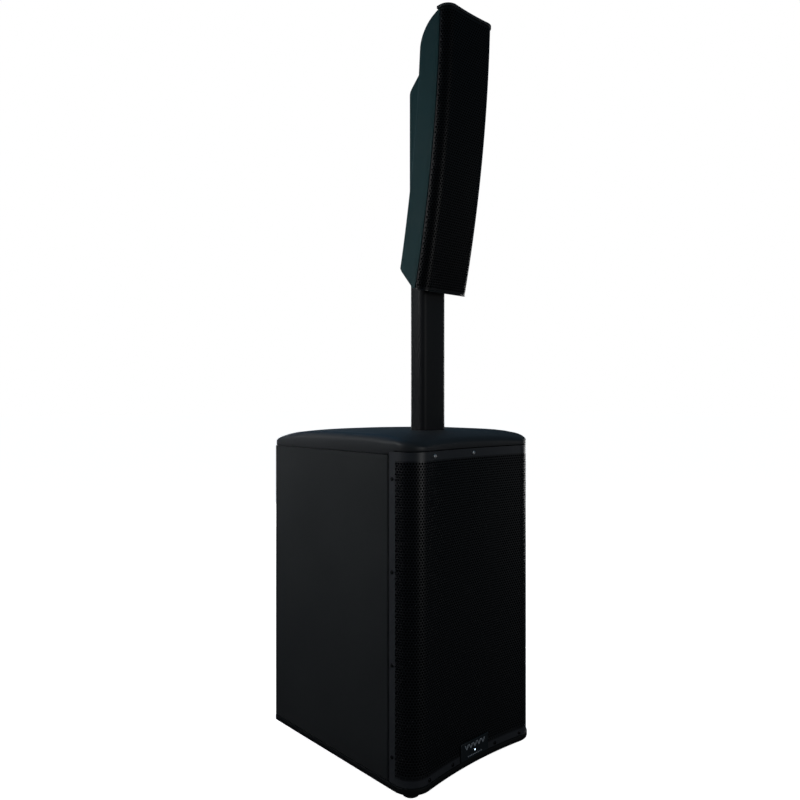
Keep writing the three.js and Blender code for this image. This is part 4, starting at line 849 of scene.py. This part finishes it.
class MODEL_OT_grille_screws(bpy.types.Operator):
    """Screws that hold the cabinet's grille"""
    bl_idname = "column.grille_screws"
    bl_label = "Grille screws"

    def execute(self, context):
        sizes = context.scene.column_grille
        outline = beaded_front(HALF_WIDTH, sizes.bead, sizes.hollow, FLANGE_END)
        centre = outline.length / 2

        def on_front(x, height):
            point, inward = outline.at(centre + x)
            return Vector((point.x, FRONT + point.y, height)), Vector((-inward.x, -inward.y, 0))

        for number, x in enumerate((-112.5, 0), 1):
            place, out = on_front(x * MM, GRILLE_TOP - 8.5 * MM)
            cross_screw(f"top_screw_{number}", 4 * MM, 2.2 * MM, place, out, "silver",
                        "cabinet", "bright_metal")
        for number, x in enumerate((-128, -60, 60, 128), 1):
            place, out = on_front(x * MM, low("cabinet_grille").z + 5.5 * MM)
            cross_screw(f"foot_screw_{number}", 3.6 * MM, 1.8 * MM, place, out, "black_screw",
                        "cabinet", "black_steel")
        for side, sign in (("left", -1), ("right", 1)):
            places = [(sign * HALF_WIDTH, FRONT + 46.7 * MM, height * MM)
                      for height in (71, 232, 395, 558.5)]
            screw_row(f"flange_screw_{side}", 1, places, "black_screw", "cabinet", "black_steel",
                      (sign, 0, 0), 3.8 * MM, 1.6 * MM)
        return {"FINISHED"}


class MODEL_OT_top_cover(bpy.types.Operator):
    """Crowned cover over the cabinet, with the opening for the pole"""
    bl_idname = "column.top_cover"
    bl_label = "Top cover"

    def execute(self, context):
        cap, grille = context.scene.column_cap, context.scene.column_grille
        crown_top = high("top_cap").z + 0.1 * MM
        depth_middle = 2 * REAR * 0.48

        def crown(point):
            across = min(1, abs(point.x) / HALF_WIDTH)
            ahead = max(0, (depth_middle - point.y) / depth_middle)
            behind = max(0, (point.y - depth_middle) / (2 * REAR - depth_middle))
            return crown_top - cap.side_drop * across ** 2 - cap.front_drop * ahead ** 5 \
                - cap.rear_drop * behind ** 3 - cap.corner_drop * behind ** 4 * across ** 3

        centre = Vector((0, 2 * REAR * 0.45))
        front_edge = GRILLE_TOP + 1.3 * MM
        step = low("front_board").y - FRONT + 18 * MM
        lowest, lip = SIDE_TOP + 0.6 * MM, 1.2 * MM

        def foot_height(point):
            blend = min(1, max(0, (step + 2 * MM - point.y) / (5 * MM)))
            return lowest + (front_edge - lowest) * blend * blend * (3 - 2 * blend)

        def plan(inset):
            return [point + Vector((0, inset)) for point, _ in cabinet_plan(-inset).samples()]

        edge = plan(0)
        rooms = [crown(point) - foot_height(point) - lip for point in edge]
        drops = [min(cap.fillet, room * 0.45) for room in rooms]
        shoulder = plan(cap.fillet)
        quarter = [math.radians(angle) for angle in (0, 12, 24, 36, 48, 60, 70, 80, 90)]
        rings = [[centre.lerp(point, share) for point in shoulder]
                 for share in (0, 0.12, 0.25, 0.4, 0.55, 0.68, 0.8, 0.89, 0.95)]
        rings = [[Vector((x, y, crown(Vector((x, y))))) for x, y in ring] for ring in rings]
        for angle in quarter:
            ring = plan(cap.fillet * (1 - math.sin(angle)))
            rings.append([Vector((*point, crown(point) - drop * (1 - math.cos(angle))))
                          for point, drop in zip(ring, drops)])
        for inset, lift in ((0, lip), (lip * 0.3, lip * 0.3), (lip, 0), (3.5 * MM, 0),
                            (3.5 * MM, 6 * MM)):
            rings.append([Vector((*point, foot_height(point) + lift)) for point in plan(inset)])

        def place(column, row):
            return rings[row][column] + Vector((0, FRONT, 0))

        cover = surface("top_cover", len(edge) - 1, len(rings) - 1, place)
        cut_by(cover, rounded_column("hole", 1.2 * MM, SIDE_TOP, crown_top + 20 * MM))
        modify(cover, "SOLIDIFY", thickness=2.4 * MM, offset=-1)
        done(cover, "plastic", "cabinet", "black_plastic", "top_cap", smooth=40)
        return {"FINISHED"}


def rounded_column(name, extra, low_end, high_end, bevel=0.0):
    """A bar in line with the pole, its four long corners rounded."""
    lowest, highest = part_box("pole_tube")
    start(bpy.ops.mesh.primitive_cube_add, size=1,
          location=(0, POLE_BACK, (low_end + high_end) / 2),
          scale=(highest.x - lowest.x + 2 * extra, highest.y - lowest.y + 2 * extra,
                 high_end - low_end))
    piece = settle(name)
    with editing(piece) as shape:
        bpy.ops.mesh.select_mode(type="EDGE")
        choose(shape, "edges", lambda edge: abs(edge.verts[0].co.z - edge.verts[1].co.z) > bevel)
        bpy.ops.mesh.bevel(offset=POLE_RADIUS + extra, segments=9)
    if bevel:
        modify(piece, "BEVEL", width=bevel, segments=2, limit_method="ANGLE",
               angle_limit=math.radians(60))
    return piece


class MODEL_OT_base(bpy.types.Operator):
    """Base tray and the four rubber feet"""
    bl_idname = "column.base"
    bl_label = "Base tray and feet"

    def execute(self, context):
        overhang = high("base_tray").x - HALF_WIDTH
        outline = [sample[0] for sample in cabinet_plan(overhang).samples()][:-1]
        bottom, top = low("base_tray").z, high("base_tray").z
        tray = plate("tray", outline, top - bottom,
                     lambda x, y, z: Vector((x, max(FRONT + y - overhang, low("base_tray").y),
                                             bottom + z)), 2.6 * MM)
        done(tray, "tray", "cabinet", "black_plastic", "base_tray", smooth=40)
        for corner in ("front_left", "front_right", "rear_left", "rear_right"):
            node = f"foot_{corner}"
            radius, tall = (high(node).x - low(node).x) / 2, high(node).z
            foot_at = middle(node)
            profile = [(0, 1.2 * MM), (radius * 0.42, 1.2 * MM), (radius * 0.46, 0),
                       (radius * 0.8, 0), (radius * 0.88, 0.9 * MM), (radius * 0.93, 2.4 * MM),
                       (radius * 0.955, tall * 0.45), (radius * 0.93, tall * 0.5),
                       (radius * 0.965, tall * 0.55), (radius, tall * 0.9), (radius, tall),
                       (0, tall)]
            piece = turned(f"rubber_{node}", profile, (foot_at.x, foot_at.y, 0))
            done(piece, "rubber", "cabinet", "rubber", node)
        return {"FINISHED"}


class MODEL_OT_badge(bpy.types.Operator):
    """Badge plate with a generic zigzag emblem, a row of dashes and the status light"""
    bl_idname = "column.badge"
    bl_label = "Badge"

    def execute(self, context):
        lowest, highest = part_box("badge_plate")
        face = lowest.y
        badge = slab("badge_face", (lowest.x, face + 0.3 * MM, lowest.z),
                     highest, 0.9 * MM)
        with editing(badge) as shape:
            front = min(shape.faces, key=lambda f: f.calc_center_median().y)
            front.select = True
            shape.select_flush_mode()
            bmesh.update_edit_mesh(badge.data)
            bpy.ops.mesh.select_mode(type="FACE")
            bpy.ops.mesh.inset(thickness=1.3 * MM, depth=0)
            bpy.ops.mesh.inset(thickness=0.3 * MM, depth=-0.4 * MM)
        done(badge, "badge", "cabinet", "badge", "badge_plate")
        centre = middle("badge_plate")
        strokes = []
        for x in (-23, -11.5, 0, 11.5, 23):
            strokes += self.chevron(centre, x * MM, 9 * MM, 9 * MM)
        for number in range(9):
            x = (number - 4) * 4.6 * MM
            strokes.append(slab("dash", (x - 1.5 * MM, face, lowest.z + 4.6 * MM),
                                (x + 1.5 * MM, face + 1.1 * MM, lowest.z + 6.4 * MM),
                                0.25 * MM, 2))
        done(joined("badge_emblem", strokes), "emblem", "cabinet", "bright_metal")
        lamp = middle("status_light")
        lens = turned("status_lens", [(0, 0), (1.55 * MM, 0), (1.55 * MM, 2.1 * MM),
                                      (1.2 * MM, 2.6 * MM), (0.6 * MM, 2.85 * MM), (0, 2.95 * MM)],
                      (lamp.x, high("status_light").y, lamp.z), (0, -1, 0), 24)
        done(lens, "light", "cabinet", "led_lens", "status_light")
        ring = turned("status_ring", [(1.6 * MM, 0), (2.5 * MM, 0), (2.3 * MM, 0.5 * MM),
                                      (1.7 * MM, 0.5 * MM), (1.6 * MM, 0)],
                      (lamp.x, face + 0.72 * MM, lamp.z), (0, -1, 0), 32)
        done(ring, "satin", "cabinet", "badge")
        return {"FINISHED"}

    def chevron(self, centre, x, width, rise):
        """Two slanted strokes of a zigzag emblem."""
        bars = []
        face = low("badge_plate").y
        for side in (-1, 1):
            bar = slab("bar", (-1.2 * MM, face, -rise / 2), (1.2 * MM, face + 1.1 * MM, rise / 2),
                       0.35 * MM, 2)
            for vertex in bar.data.vertices:
                lean = side * vertex.co.z * width / 2 / rise
                vertex.co.x += centre.x + x + side * width / 4 + lean
                vertex.co.z += centre.z + 7 * MM
            bars.append(bar)
        return bars


class MODEL_OT_pole(bpy.types.Operator):
    """Spacer pole"""
    bl_idname = "column.pole"
    bl_label = "Pole"

    def execute(self, context):
        foot, top = low("pole_tube").z, high("pole_tube").z
        bar = rounded_column("spacer_pole", 0, foot, top, 0.8 * MM)
        cut_by(bar, rounded_column("bore", -POLE_WALL, foot - 1 * MM, top + 1 * MM))
        done(bar, "pole", "pole", "anodised", "pole_tube", smooth=40)
        return {"FINISHED"}


class MODEL_OT_head_grille(bpy.types.Operator):
    """Perforated steel front of the column head"""
    bl_idname = "column.head_grille"
    bl_label = "Head grille"

    def execute(self, context):
        sizes = context.scene.column_grille
        outline = beaded_front(HEAD_HALF, sizes.head_bead, sizes.head_hollow, 19 * MM)

        def place(across, up, depth):
            point = inset_point(outline.at(across), depth)
            return on_head(point.x, point.y, up)

        edge = sizes.head_strip
        framed_grille("head_grille", outline, place, low("head_grille").z,
                      LIP_UNDERSIDE - 0.9 * MM, (edge, edge, edge), 2, "head", "head_grille",
                      ("head_steel", "head_steel"))
        height = LIP_UNDERSIDE - low("head_grille").z - 6 * MM
        lining = strip("head_lining", outline.length, height, 1.2 * MM)
        bend(lining, lambda across, up, depth: place(across, up, depth + 1.6 * MM), 0,
             low("head_grille").z + 3 * MM)
        done(lining, "lining", "head", "dark_foam", smooth=40)
        return {"FINISHED"}


class MODEL_OT_head_shell(bpy.types.Operator):
    """Back shell of the column head, with the channel for the pole"""
    bl_idname = "column.head_shell"
    bl_label = "Head shell"

    def execute(self, context):
        sizes = context.scene.column_head
        start_depth = 20.8 * MM
        half, round_ = HEAD_HALF, sizes.rear_round
        channel_half = (high("pole_tube").x - low("pole_tube").x) / 2 + 1.8 * MM
        channel_front = low("pole_tube").y - 1.9 * MM
        top = LIP_UNDERSIDE - 0.3 * MM
        round_y = front_at(HEAD_TOP) + HEAD_DEPTH + 3 * MM - sizes.top_round
        round_z = top - sizes.top_round
        chin = on_head(0, sizes.chin, HEAD_BOTTOM)
        slope = math.tan(math.radians(49))

        def inside(place):
            if place.y > round_y and place.z > round_z:
                if math.hypot(place.y - round_y, place.z - round_z) > sizes.top_round:
                    return False
            return place.z <= top and place.z - chin.z >= (place.y - chin.y) * slope

        def rear_limit(height):
            near, far = start_depth + 0.5 * MM, HEAD_DEPTH
            if inside(on_head(0, far, height)):
                return far
            for _ in range(24):
                half_way = (near + far) / 2
                near, far = (half_way, far) if inside(on_head(0, half_way, height)) \
                    else (near, half_way)
            return near

        def channel_depth(height):
            angle = arc_angle(height)
            return HEAD_ARC - (ARC_BACK - channel_front) / math.cos(angle)

        chin_top = 46 * MM
        heights = [HEAD_BOTTOM + 0.3 * MM + chin_top * k / 8 for k in range(8)]
        straight_from, straight_to = HEAD_BOTTOM + chin_top, round_z - 1 * MM
        heights += [straight_from + (straight_to - straight_from) * k / 26 for k in range(27)]
        heights += [round_z + (sizes.top_round - 0.4 * MM) * math.sin(math.pi / 2 * k / 14)
                    for k in range(1, 15)]

        def outline(height):
            rear = rear_limit(height)
            corner = min(round_, (rear - start_depth) * 0.45)
            floor = min(channel_depth(height), rear)
            left = [(-half + 1.6 * MM, start_depth), (-half + 0.5 * MM, start_depth + 0.4 * MM),
                    (-half, start_depth + 1.6 * MM)]
            side = rear - corner
            left += [(-half, start_depth + 1.6 * MM + (side - start_depth - 1.6 * MM) * k / 4)
                     for k in range(1, 5)]
            left += [(-half + corner * (1 - math.cos(a)), side + corner * math.sin(a))
                     for a in (math.pi / 2 * k / 7 for k in range(1, 8))]
            fillet = min(2.5 * MM, max(0, rear - floor) * 0.4)
            left += [(-channel_half - fillet, rear),
                     (-channel_half - fillet * 0.3, rear - fillet * 0.3),
                     (-channel_half, rear - fillet), (-channel_half, floor),
                     (-channel_half * 0.5, floor)]
            right = [(-x, depth) for x, depth in reversed(left)]
            return [*left, (0, floor), *right]

        outlines = [outline(height) for height in heights]

        def place(column, row):
            x, depth = outlines[row][column]
            return on_head(x, depth, heights[row])

        shell = surface("head_back_shell", len(outlines[0]) - 1, len(heights) - 1, place)
        rear_up = max(shell.data.polygons, key=lambda face: face.center.y)
        if rear_up.normal.y < 0:
            with editing(shell, "SELECT"):
                bpy.ops.mesh.flip_normals()
        modify(shell, "SOLIDIFY", thickness=sizes.wall * 0.8, offset=-1)
        done(shell, "head", "head", "black_plastic", "head_shell", smooth=38)
        return {"FINISHED"}


class MODEL_OT_head_trim(bpy.types.Operator):
    """Lip over the head's top, rim under it and the hood over the pole"""
    bl_idname = "column.head_trim"
    bl_label = "Head trim"

    def execute(self, context):
        sizes = context.scene.column_grille
        overhang = high("head_top_cap").x - HEAD_HALF
        outline = beaded_front(HEAD_HALF + overhang, sizes.head_bead + overhang,
                               sizes.head_hollow, high("head_top_cap").y - front_at(HEAD_TOP))
        points = [sample[0] for sample in outline.samples()]
        top_front = front_at(HEAD_TOP) - overhang
        lip = plate("head_lip", points, HEAD_TOP - LIP_UNDERSIDE,
                    lambda x, y, z: Vector((x, top_front + y, LIP_UNDERSIDE + z)), 1.3 * MM)
        done(lip, "plastic", "head", "black_plastic", "head_top_cap", smooth=50)
        lower = beaded_front(HEAD_HALF + 0.4 * MM, sizes.head_bead, sizes.head_hollow, 28.5 * MM)
        points = [sample[0] for sample in lower.samples()]
        rim = plate("head_foot_rim", points, 2.5 * MM,
                    lambda x, y, z: on_head(x, y - 0.6 * MM, HEAD_BOTTOM + z), 0.8 * MM)
        done(rim, "satin", "head", "black_plastic", "head_rim", smooth=50)
        hood = softened("mount_hood", "pole_hood", 1.6 * MM)
        done(hood, "head", "head", "black_plastic", "mount_hood", smooth=15)
        return {"FINISHED"}


class MODEL_OT_lock_knob(bpy.types.Operator):
    """Lobed clamp knob on the hood"""
    bl_idname = "column.lock_knob"
    bl_label = "Clamp knob"

    def execute(self, context):
        lowest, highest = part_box("lock_knob")
        centre = middle("lock_knob")
        base, tip, radius = highest.y - 14 * MM, highest.y, (highest.x - lowest.x) / 2
        profile = [(0, -3.4 * MM), (3 * MM, -3.4 * MM), (3 * MM, 1.6 * MM),
                   (radius - 1 * MM, 1.6 * MM),
                   (radius, 3 * MM), (radius, 10 * MM), (radius - 0.8 * MM, 12.6 * MM),
                   (radius - 2.6 * MM, 14 * MM), (4 * MM, 14 * MM), (3.4 * MM, 13 * MM),
                   (0, 13 * MM)]
        knob = turned("clamp_knob", profile, (centre.x, base, centre.z), (0, 1, 0), 60)
        scallops = []
        for number in range(6):
            angle = math.tau * (number + 0.5) / 6
            reach = radius + 1.6 * MM
            scallops.append(turned("scallop", [(0, 0), (2.6 * MM, 0), (2.6 * MM, 20 * MM),
                            (0, 20 * MM)], (centre.x + reach * math.cos(angle), base,
                            centre.z + reach * math.sin(angle)), (0, 1, 0), 20))
        cut_by(knob, *scallops)
        done(knob, "satin", "lock_knob", "black_plastic", "lock_knob")
        return {"FINISHED"}


class MODEL_OT_back_panel(bpy.types.Operator):
    """Amplifier panel, its screws, heatsink, printed marks and signal lights"""
    bl_idname = "column.back_panel"
    bl_label = "Amplifier panel"

    def execute(self, context):
        panel = softened("amplifier_panel", "panel_pan", 0.7 * MM)
        done(panel, "panel", "cabinet", "black_steel", "amplifier_panel", smooth=15)
        fins = softened("heatsink", "cooling_fins", 0.4 * MM)
        done(fins, "fins", "cabinet", "heatsink_metal", "heatsink", smooth=15)
        lowest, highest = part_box("amplifier_panel")
        inset = 6.5 * MM
        xs = (lowest.x + inset, highest.x - inset)
        zs = [lowest.z + inset + (highest.z - lowest.z - 2 * inset) * k / 3 for k in range(4)]
        places = [(x, highest.y, z) for x in xs for z in zs]
        screw_row("panel_screw", 1, places, "black_screw", "cabinet", "black_steel", (0, 1, 0),
                  3.4 * MM, 1.8 * MM)
        for knob in ("level_knob_1", "level_knob_2"):
            centre = middle(knob)
            ticks = []
            for step in range(11):
                angle = math.radians(240 - 30 * step)
                tick = slab("tick", (-0.3 * MM, -0.05 * MM, 12.2 * MM), (0.3 * MM, 0.25 * MM,
                            (15 if step % 5 == 0 else 14) * MM))
                spin = Matrix.Rotation(angle - math.pi / 2, 3, "Y")
                for vertex in tick.data.vertices:
                    vertex.co = spin @ vertex.co + Vector((centre.x, PANEL_FLOOR, centre.z))
                ticks.append(tick)
            done(joined(f"scale_{knob}", ticks), "print", "cabinet", "bright_metal")
        for number, node in enumerate(("input_jack_1", "input_jack_2", "link_jack"), 1):
            centre = middle(node)
            lamp = turned(f"signal_light_{number}", [(0, 0), (1.5 * MM, 0), (1.5 * MM, 0.8 * MM),
                          (0.9 * MM, 1.3 * MM), (0, 1.4 * MM)],
                          (centre.x, PANEL_FLOOR - 0.1 * MM, centre.z + 21 * MM), (0, 1, 0), 20)
            done(lamp, "green_light", "cabinet", "led_lens")
        return {"FINISHED"}


class MODEL_OT_controls(bpy.types.Operator):
    """Knobs, buttons, rocker and display of the amplifier panel"""
    bl_idname = "column.controls"
    bl_label = "Controls"

    def execute(self, context):
        for node in ("level_knob_1", "level_knob_2", "menu_dial"):
            self.knob(node)
        for node in ("mode_button", "pairing_button"):
            centre, radius = middle(node), (high(node).x - low(node).x) / 2
            face = high(node).y
            profile = [(0, -8 * MM), (radius, -8 * MM), (radius, -1.1 * MM),
                       (radius - 0.35 * MM, -0.35 * MM), (radius - 1.1 * MM, 0),
                       (radius * 0.5, -0.25 * MM), (0, -0.35 * MM)]
            button = turned(f"soft_{node}", profile, (centre.x, face, centre.z), (0, 1, 0))
            done(button, "rubber", node, "rubber", node)
        rocker = softened("power_rocker", "rocker_cap", 0.5 * MM)
        done(rocker, "red", "power_rocker", "red_switch", "power_rocker")
        bezel = self.ring_frame("display_bezel", "display_lens", 3 * MM, 1.6 * MM)
        done(bezel, "satin", "cabinet", "black_plastic")
        switch_frame = self.ring_frame("rocker_frame", "power_rocker", 2.2 * MM, 1.2 * MM,
                                       1.4 * MM)
        done(switch_frame, "satin", "cabinet", "black_plastic")
        return {"FINISHED"}

    def knob(self, node):
        centre, radius = middle(node), (high(node).x - low(node).x) / 2
        tip = high(node).y - PANEL_FLOOR
        profile = [(0, -9 * MM), (radius * 0.3, -9 * MM), (radius * 0.3, 1.5 * MM),
                   (radius, 1.5 * MM), (radius, 3.2 * MM), (radius * 0.9, 4 * MM),
                   (radius * 0.84, tip - 1.4 * MM), (radius * 0.78, tip - 0.4 * MM),
                   (radius * 0.68, tip), (0, tip)]
        body = turned(f"ribbed_{node}", profile, (centre.x, PANEL_FLOOR, centre.z), (0, 1, 0), 48)
        with editing(body) as shape:
            bpy.ops.mesh.select_mode(type="FACE")
            axis = Vector((centre.x, 0, centre.z))

            def fluted(face):
                spot = face.calc_center_median() - axis
                along, spot.y = spot.y - PANEL_FLOOR, 0
                turn = math.floor(math.atan2(spot.z, spot.x) / math.tau * 48)
                return abs(face.normal.y) < 0.3 and turn % 2 == 0 and \
                    spot.length > radius * 0.8 and along > 4 * MM

            choose(shape, "faces", fluted)
            bpy.ops.mesh.inset(thickness=radius * 0.02, depth=-radius * 0.045,
                               use_individual=True)
        done(body, "satin", node, "black_plastic", node, smooth=25)
        pointer = slab(f"pointer_{node}", (centre.x - 0.5 * MM, high(node).y - 0.5 * MM,
                       centre.z + radius * 0.15), (centre.x + 0.5 * MM, high(node).y + 0.15 * MM,
                       centre.z + radius * 0.66), 0.12 * MM, 2)
        done(pointer, "print", node, "bright_metal")

    def ring_frame(self, name, node, wide, tall, gap=0.5 * MM):
        """A raised frame round a rectangular opening in the panel's floor."""
        lowest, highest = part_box(node)
        left, right = lowest.x - gap, highest.x + gap
        foot, top = lowest.z - gap, highest.z + gap
        sides = [((left - wide, top), (right + wide, top + wide)),
                 ((left - wide, foot - wide), (right + wide, foot)),
                 ((left - wide, foot), (left, top)), ((right, foot), (right + wide, top))]
        bars = [slab("bar", (a[0], PANEL_FLOOR - 0.1 * MM, a[1]),
                     (b[0], PANEL_FLOOR + tall, b[1]), 0.4 * MM, 2) for a, b in sides]
        return joined(name, bars)


class MODEL_OT_sockets(bpy.types.Operator):
    """Input, link and power sockets"""
    bl_idname = "column.sockets"
    bl_label = "Sockets"

    def execute(self, context):
        for node in ("input_jack_1", "input_jack_2", "link_jack"):
            body = softened(node, f"shell_{node}", 0.5 * MM)
            done(body, "satin", "cabinet", "black_plastic", node, smooth=15)
            centre, face = middle(node), high(node).y
            ring = turned(f"ring_{node}", [(9.6 * MM, 0.1 * MM), (12 * MM, 0.1 * MM),
                          (11.8 * MM, 1.1 * MM), (10.6 * MM, 1.3 * MM), (9.8 * MM, 0.6 * MM),
                          (9.6 * MM, 0.1 * MM)], (centre.x, face - 0.2 * MM, centre.z), (0, 1, 0))
            done(ring, "black_screw", "cabinet", "black_steel")
            latch = slab(f"latch_{node}",
                         (centre.x - 3 * MM, face - 0.4 * MM, centre.z + 11.6 * MM),
                         (centre.x + 3 * MM, face + 1.4 * MM, centre.z + 14.2 * MM), 0.6 * MM)
            done(latch, "silver", "cabinet", "bright_metal")
            places = [(centre.x + x * MM, face, centre.z + z * MM)
                      for x, z in ((-12, 12), (12, -12))]
            screw_row(f"screw_{node}", 1, places, "black_screw", "cabinet", "black_steel",
                      (0, 1, 0), 1.9 * MM, 1 * MM)
        inlet = softened("power_inlet", "inlet_shell", 0.4 * MM)
        done(inlet, "satin", "cabinet", "black_plastic", "power_inlet", smooth=15)
        return {"FINISHED"}


class MODEL_OT_handle(bpy.types.Operator):
    """Recessed carrying handle"""
    bl_idname = "column.handle"
    bl_label = "Handle"

    def execute(self, context):
        cup = softened("handle_cup", "handle_tub", 1.2 * MM)
        done(cup, "plastic", "cabinet", "black_plastic", "handle_cup", smooth=15)
        lowest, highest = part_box("handle_grip")
        bar = slab("grip_bar", lowest, highest, 7 * MM, 6)
        done(bar, "rubber", "cabinet", "rubber", "handle_grip")
        low_cup, high_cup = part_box("handle_cup")
        inset = 4.2 * MM
        places = [(x, high_cup.y, z) for x in (low_cup.x + inset, high_cup.x - inset)
                  for z in (low_cup.z + inset, high_cup.z - inset)]
        screw_row("handle_screw", 1, places, "black_screw", "cabinet", "black_steel", (0, 1, 0),
                  2.9 * MM, 1.4 * MM)
        return {"FINISHED"}


class MODEL_OT_finish_nodes(bpy.types.Operator):
    """Finishes on the parts whose model shape is shown as it is"""
    bl_idname = "column.finish_nodes"
    bl_label = "Finishes of plain parts"

    def execute(self, context):
        nodes = {
            "paint": ("side_panel_left", "side_panel_right", "top_board", "bottom_board",
                      "front_board", "rear_board"),
            "wood": ("cabinet_brace",),
            "foam": ("cabinet_grille_foam",),
            "satin": ("pole_socket", "port_tube", "pole_plug_lower", "pole_plug_upper",
                      "head_baffle", "waveguide"),
            "silver": ("socket_contacts", "head_contacts"),
            "casting": ("woofer_basket", "upper_mid_frame", "lower_mid_frame"),
            "ferrite": ("woofer_magnet", "compression_driver"),
            "copper": ("woofer_voice_coil",),
            "paper": ("woofer_cone", "woofer_spider", "upper_mid_cone", "lower_mid_cone"),
            "rubber": ("woofer_surround",),
            "display": ("display_lens",),
            "board": ("amplifier_board",),
        }
        for finish, names in nodes.items():
            for name in names:
                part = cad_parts[name]
                part.data.materials.clear()
                part.data.materials.append(finishes()[finish])
        return {"FINISHED"}


# name, size, watts, place, target, spread in degrees, seen in reflections, tint
LAMPS = (
    ("left_soft", 1.2, 1.15, (-2.2, 1.1, 1.5), (-0.17, 0.15, 0.62), 30),
    ("back_left_soft", 0.4, 0.8, (-0.56, 0.48, 0.78), (-0.17, 0.16, 0.5), 110, False),
    ("head_soft", 0.6, 0.85, (-1.6, 0.5, 1.6), (0, -0.1, 1.18), 40, False),
    ("top_soft", 2.4, 3.5, (0.3, 1.6, 2.6), (0, 0, 0.7), 180, True, (0.1, 0.5, 1.0)),
    ("front_soft", 1.0, 13, (0.6, -3.4, 0.8), (0, 0, 0.75)),
    ("right_soft", 1.2, 22, (3.0, 0.3, 0.6), (0, 0, 0.7)),
    ("rear_soft", 1.2, 34, (0.9, 3.2, 0.6), (0, 0, 0.7)),
)
CAMERA_PLACE = (-0.9903, -1.058, 0.6968)
CAMERA_TURN = (math.pi / 2, 0, -0.75)


class STAGE_OT_studio(bpy.types.Operator):
    """Pale floor, soft lights and the camera"""
    bl_idname = "column.studio"
    bl_label = "Studio"

    def execute(self, context):
        sizes = context.scene.column_stage
        start(bpy.ops.mesh.primitive_plane_add, size=sizes.floor)
        floor = settle("studio_floor")
        floor.data.materials.append(self.pale_floor())
        self.sky(context)
        context.scene.view_settings.view_transform = "Standard"
        for row in LAMPS:
            self.lamp(*row)
        camera_data = bpy.data.cameras.new("camera")
        camera_data.lens = sizes.lens
        camera_data.sensor_width = 36
        camera = bpy.data.objects.new("camera", camera_data)
        context.collection.objects.link(camera)
        camera.location = CAMERA_PLACE
        camera.rotation_euler = CAMERA_TURN
        context.scene.camera = camera
        return {"FINISHED"}

    def pale_floor(self):
        """Pale to look at, and dull to the light that the object picks up from below."""
        pale = Surface("pale_floor", (0.9, 0.9, 0.9), 0.9, Specular_IOR_Level=0.1,
                       Emission_Strength=0.97, Emission_Color=(1, 1, 1, 1))
        pale.tint(pale.noise(0.6, 2.0) * 0.3, (0.88, 0.88, 0.88))
        dull = pale.node("ShaderNodeBsdfDiffuse", {}, {"Color": (0.12, 0.12, 0.12, 1)})
        seen = pale.node("ShaderNodeLightPath", {}, {}, "Is Camera Ray")
        mixed = pale.node("ShaderNodeMixShader", {}, {0: seen, 1: dull,
                          2: Value(pale, pale.shader.outputs[0])})
        output = pale.tree.nodes["Material Output"]
        pale.tree.links.new(mixed.socket, output.inputs["Surface"])
        return pale.material

    def sky(self, context):
        """White to look at, dimmer as a source of light."""
        world = context.scene.world or bpy.data.worlds.new("studio")
        context.scene.world = world
        world.use_nodes = True
        tree = world.node_tree
        tree.nodes.clear()
        rays = tree.nodes.new("ShaderNodeLightPath")
        seen, dim = (tree.nodes.new("ShaderNodeBackground") for _ in range(2))
        seen.inputs["Color"].default_value = (1, 1, 1, 1)
        dim.inputs["Color"].default_value = (0.4, 0.72, 1, 1)
        dim.inputs["Strength"].default_value = 0.075
        mix, out = tree.nodes.new("ShaderNodeMixShader"), tree.nodes.new("ShaderNodeOutputWorld")
        tree.links.new(rays.outputs["Is Camera Ray"], mix.inputs[0])
        tree.links.new(dim.outputs[0], mix.inputs[1])
        tree.links.new(seen.outputs[0], mix.inputs[2])
        tree.links.new(mix.outputs[0], out.inputs[0])

    def lamp(self, name, size, power, place, target, spread=180, mirrored=True, tint=(1, 1, 1)):
        data = bpy.data.lights.new(name, "AREA")
        data.size, data.energy, data.color = size, power, tint
        data.spread = math.radians(spread)
        lamp = bpy.data.objects.new(name, data)
        bpy.context.collection.objects.link(lamp)
        lamp.location = place
        lamp.visible_camera = False
        lamp.visible_glossy = mirrored
        aim = Vector(target) - Vector(place)
        lamp.rotation_euler = aim.to_track_quat("-Z", "Y").to_euler()


# ------------------------------------------------------------------ add-on

STEPS = (
    STAGE_OT_studio, MODEL_OT_finish_nodes, MODEL_OT_cabinet_grille, MODEL_OT_grille_screws,
    MODEL_OT_top_cover, MODEL_OT_base, MODEL_OT_badge, MODEL_OT_pole, MODEL_OT_head_grille,
    MODEL_OT_head_shell, MODEL_OT_head_trim, MODEL_OT_lock_knob, MODEL_OT_back_panel,
    MODEL_OT_controls, MODEL_OT_sockets, MODEL_OT_handle,
)


class VIEW3D_PT_column(bpy.types.Panel):
    """Lists the pieces of the column PA system"""
    bl_idname = "VIEW3D_PT_column"
    bl_label = "Column PA system"
    bl_space_type = "VIEW_3D"
    bl_region_type = "UI"
    bl_category = "Column PA"

    def draw(self, context):
        for step in STEPS:
            self.layout.operator(step.bl_idname)


GROUPS = {"column_grille": GrilleSizes, "column_cap": CapSizes, "column_head": HeadSizes,
          "column_finishes": Finishes, "column_stage": StageSizes}


def register():
    for group in GROUPS.values():
        bpy.utils.register_class(group)
    for name, group in GROUPS.items():
        setattr(bpy.types.Scene, name, PointerProperty(type=group))
    for step in (*STEPS, VIEW3D_PT_column):
        bpy.utils.register_class(step)


def unregister():
    for step in reversed((*STEPS, VIEW3D_PT_column)):
        bpy.utils.unregister_class(step)
    for name in GROUPS:
        delattr(bpy.types.Scene, name)
    for group in GROUPS.values():
        bpy.utils.unregister_class(group)


def main():
    register()
    for step in STEPS:
        family, name = step.bl_idname.split(".")
        getattr(getattr(bpy.ops, family), name)()


if __name__ == "__main__":
    main()
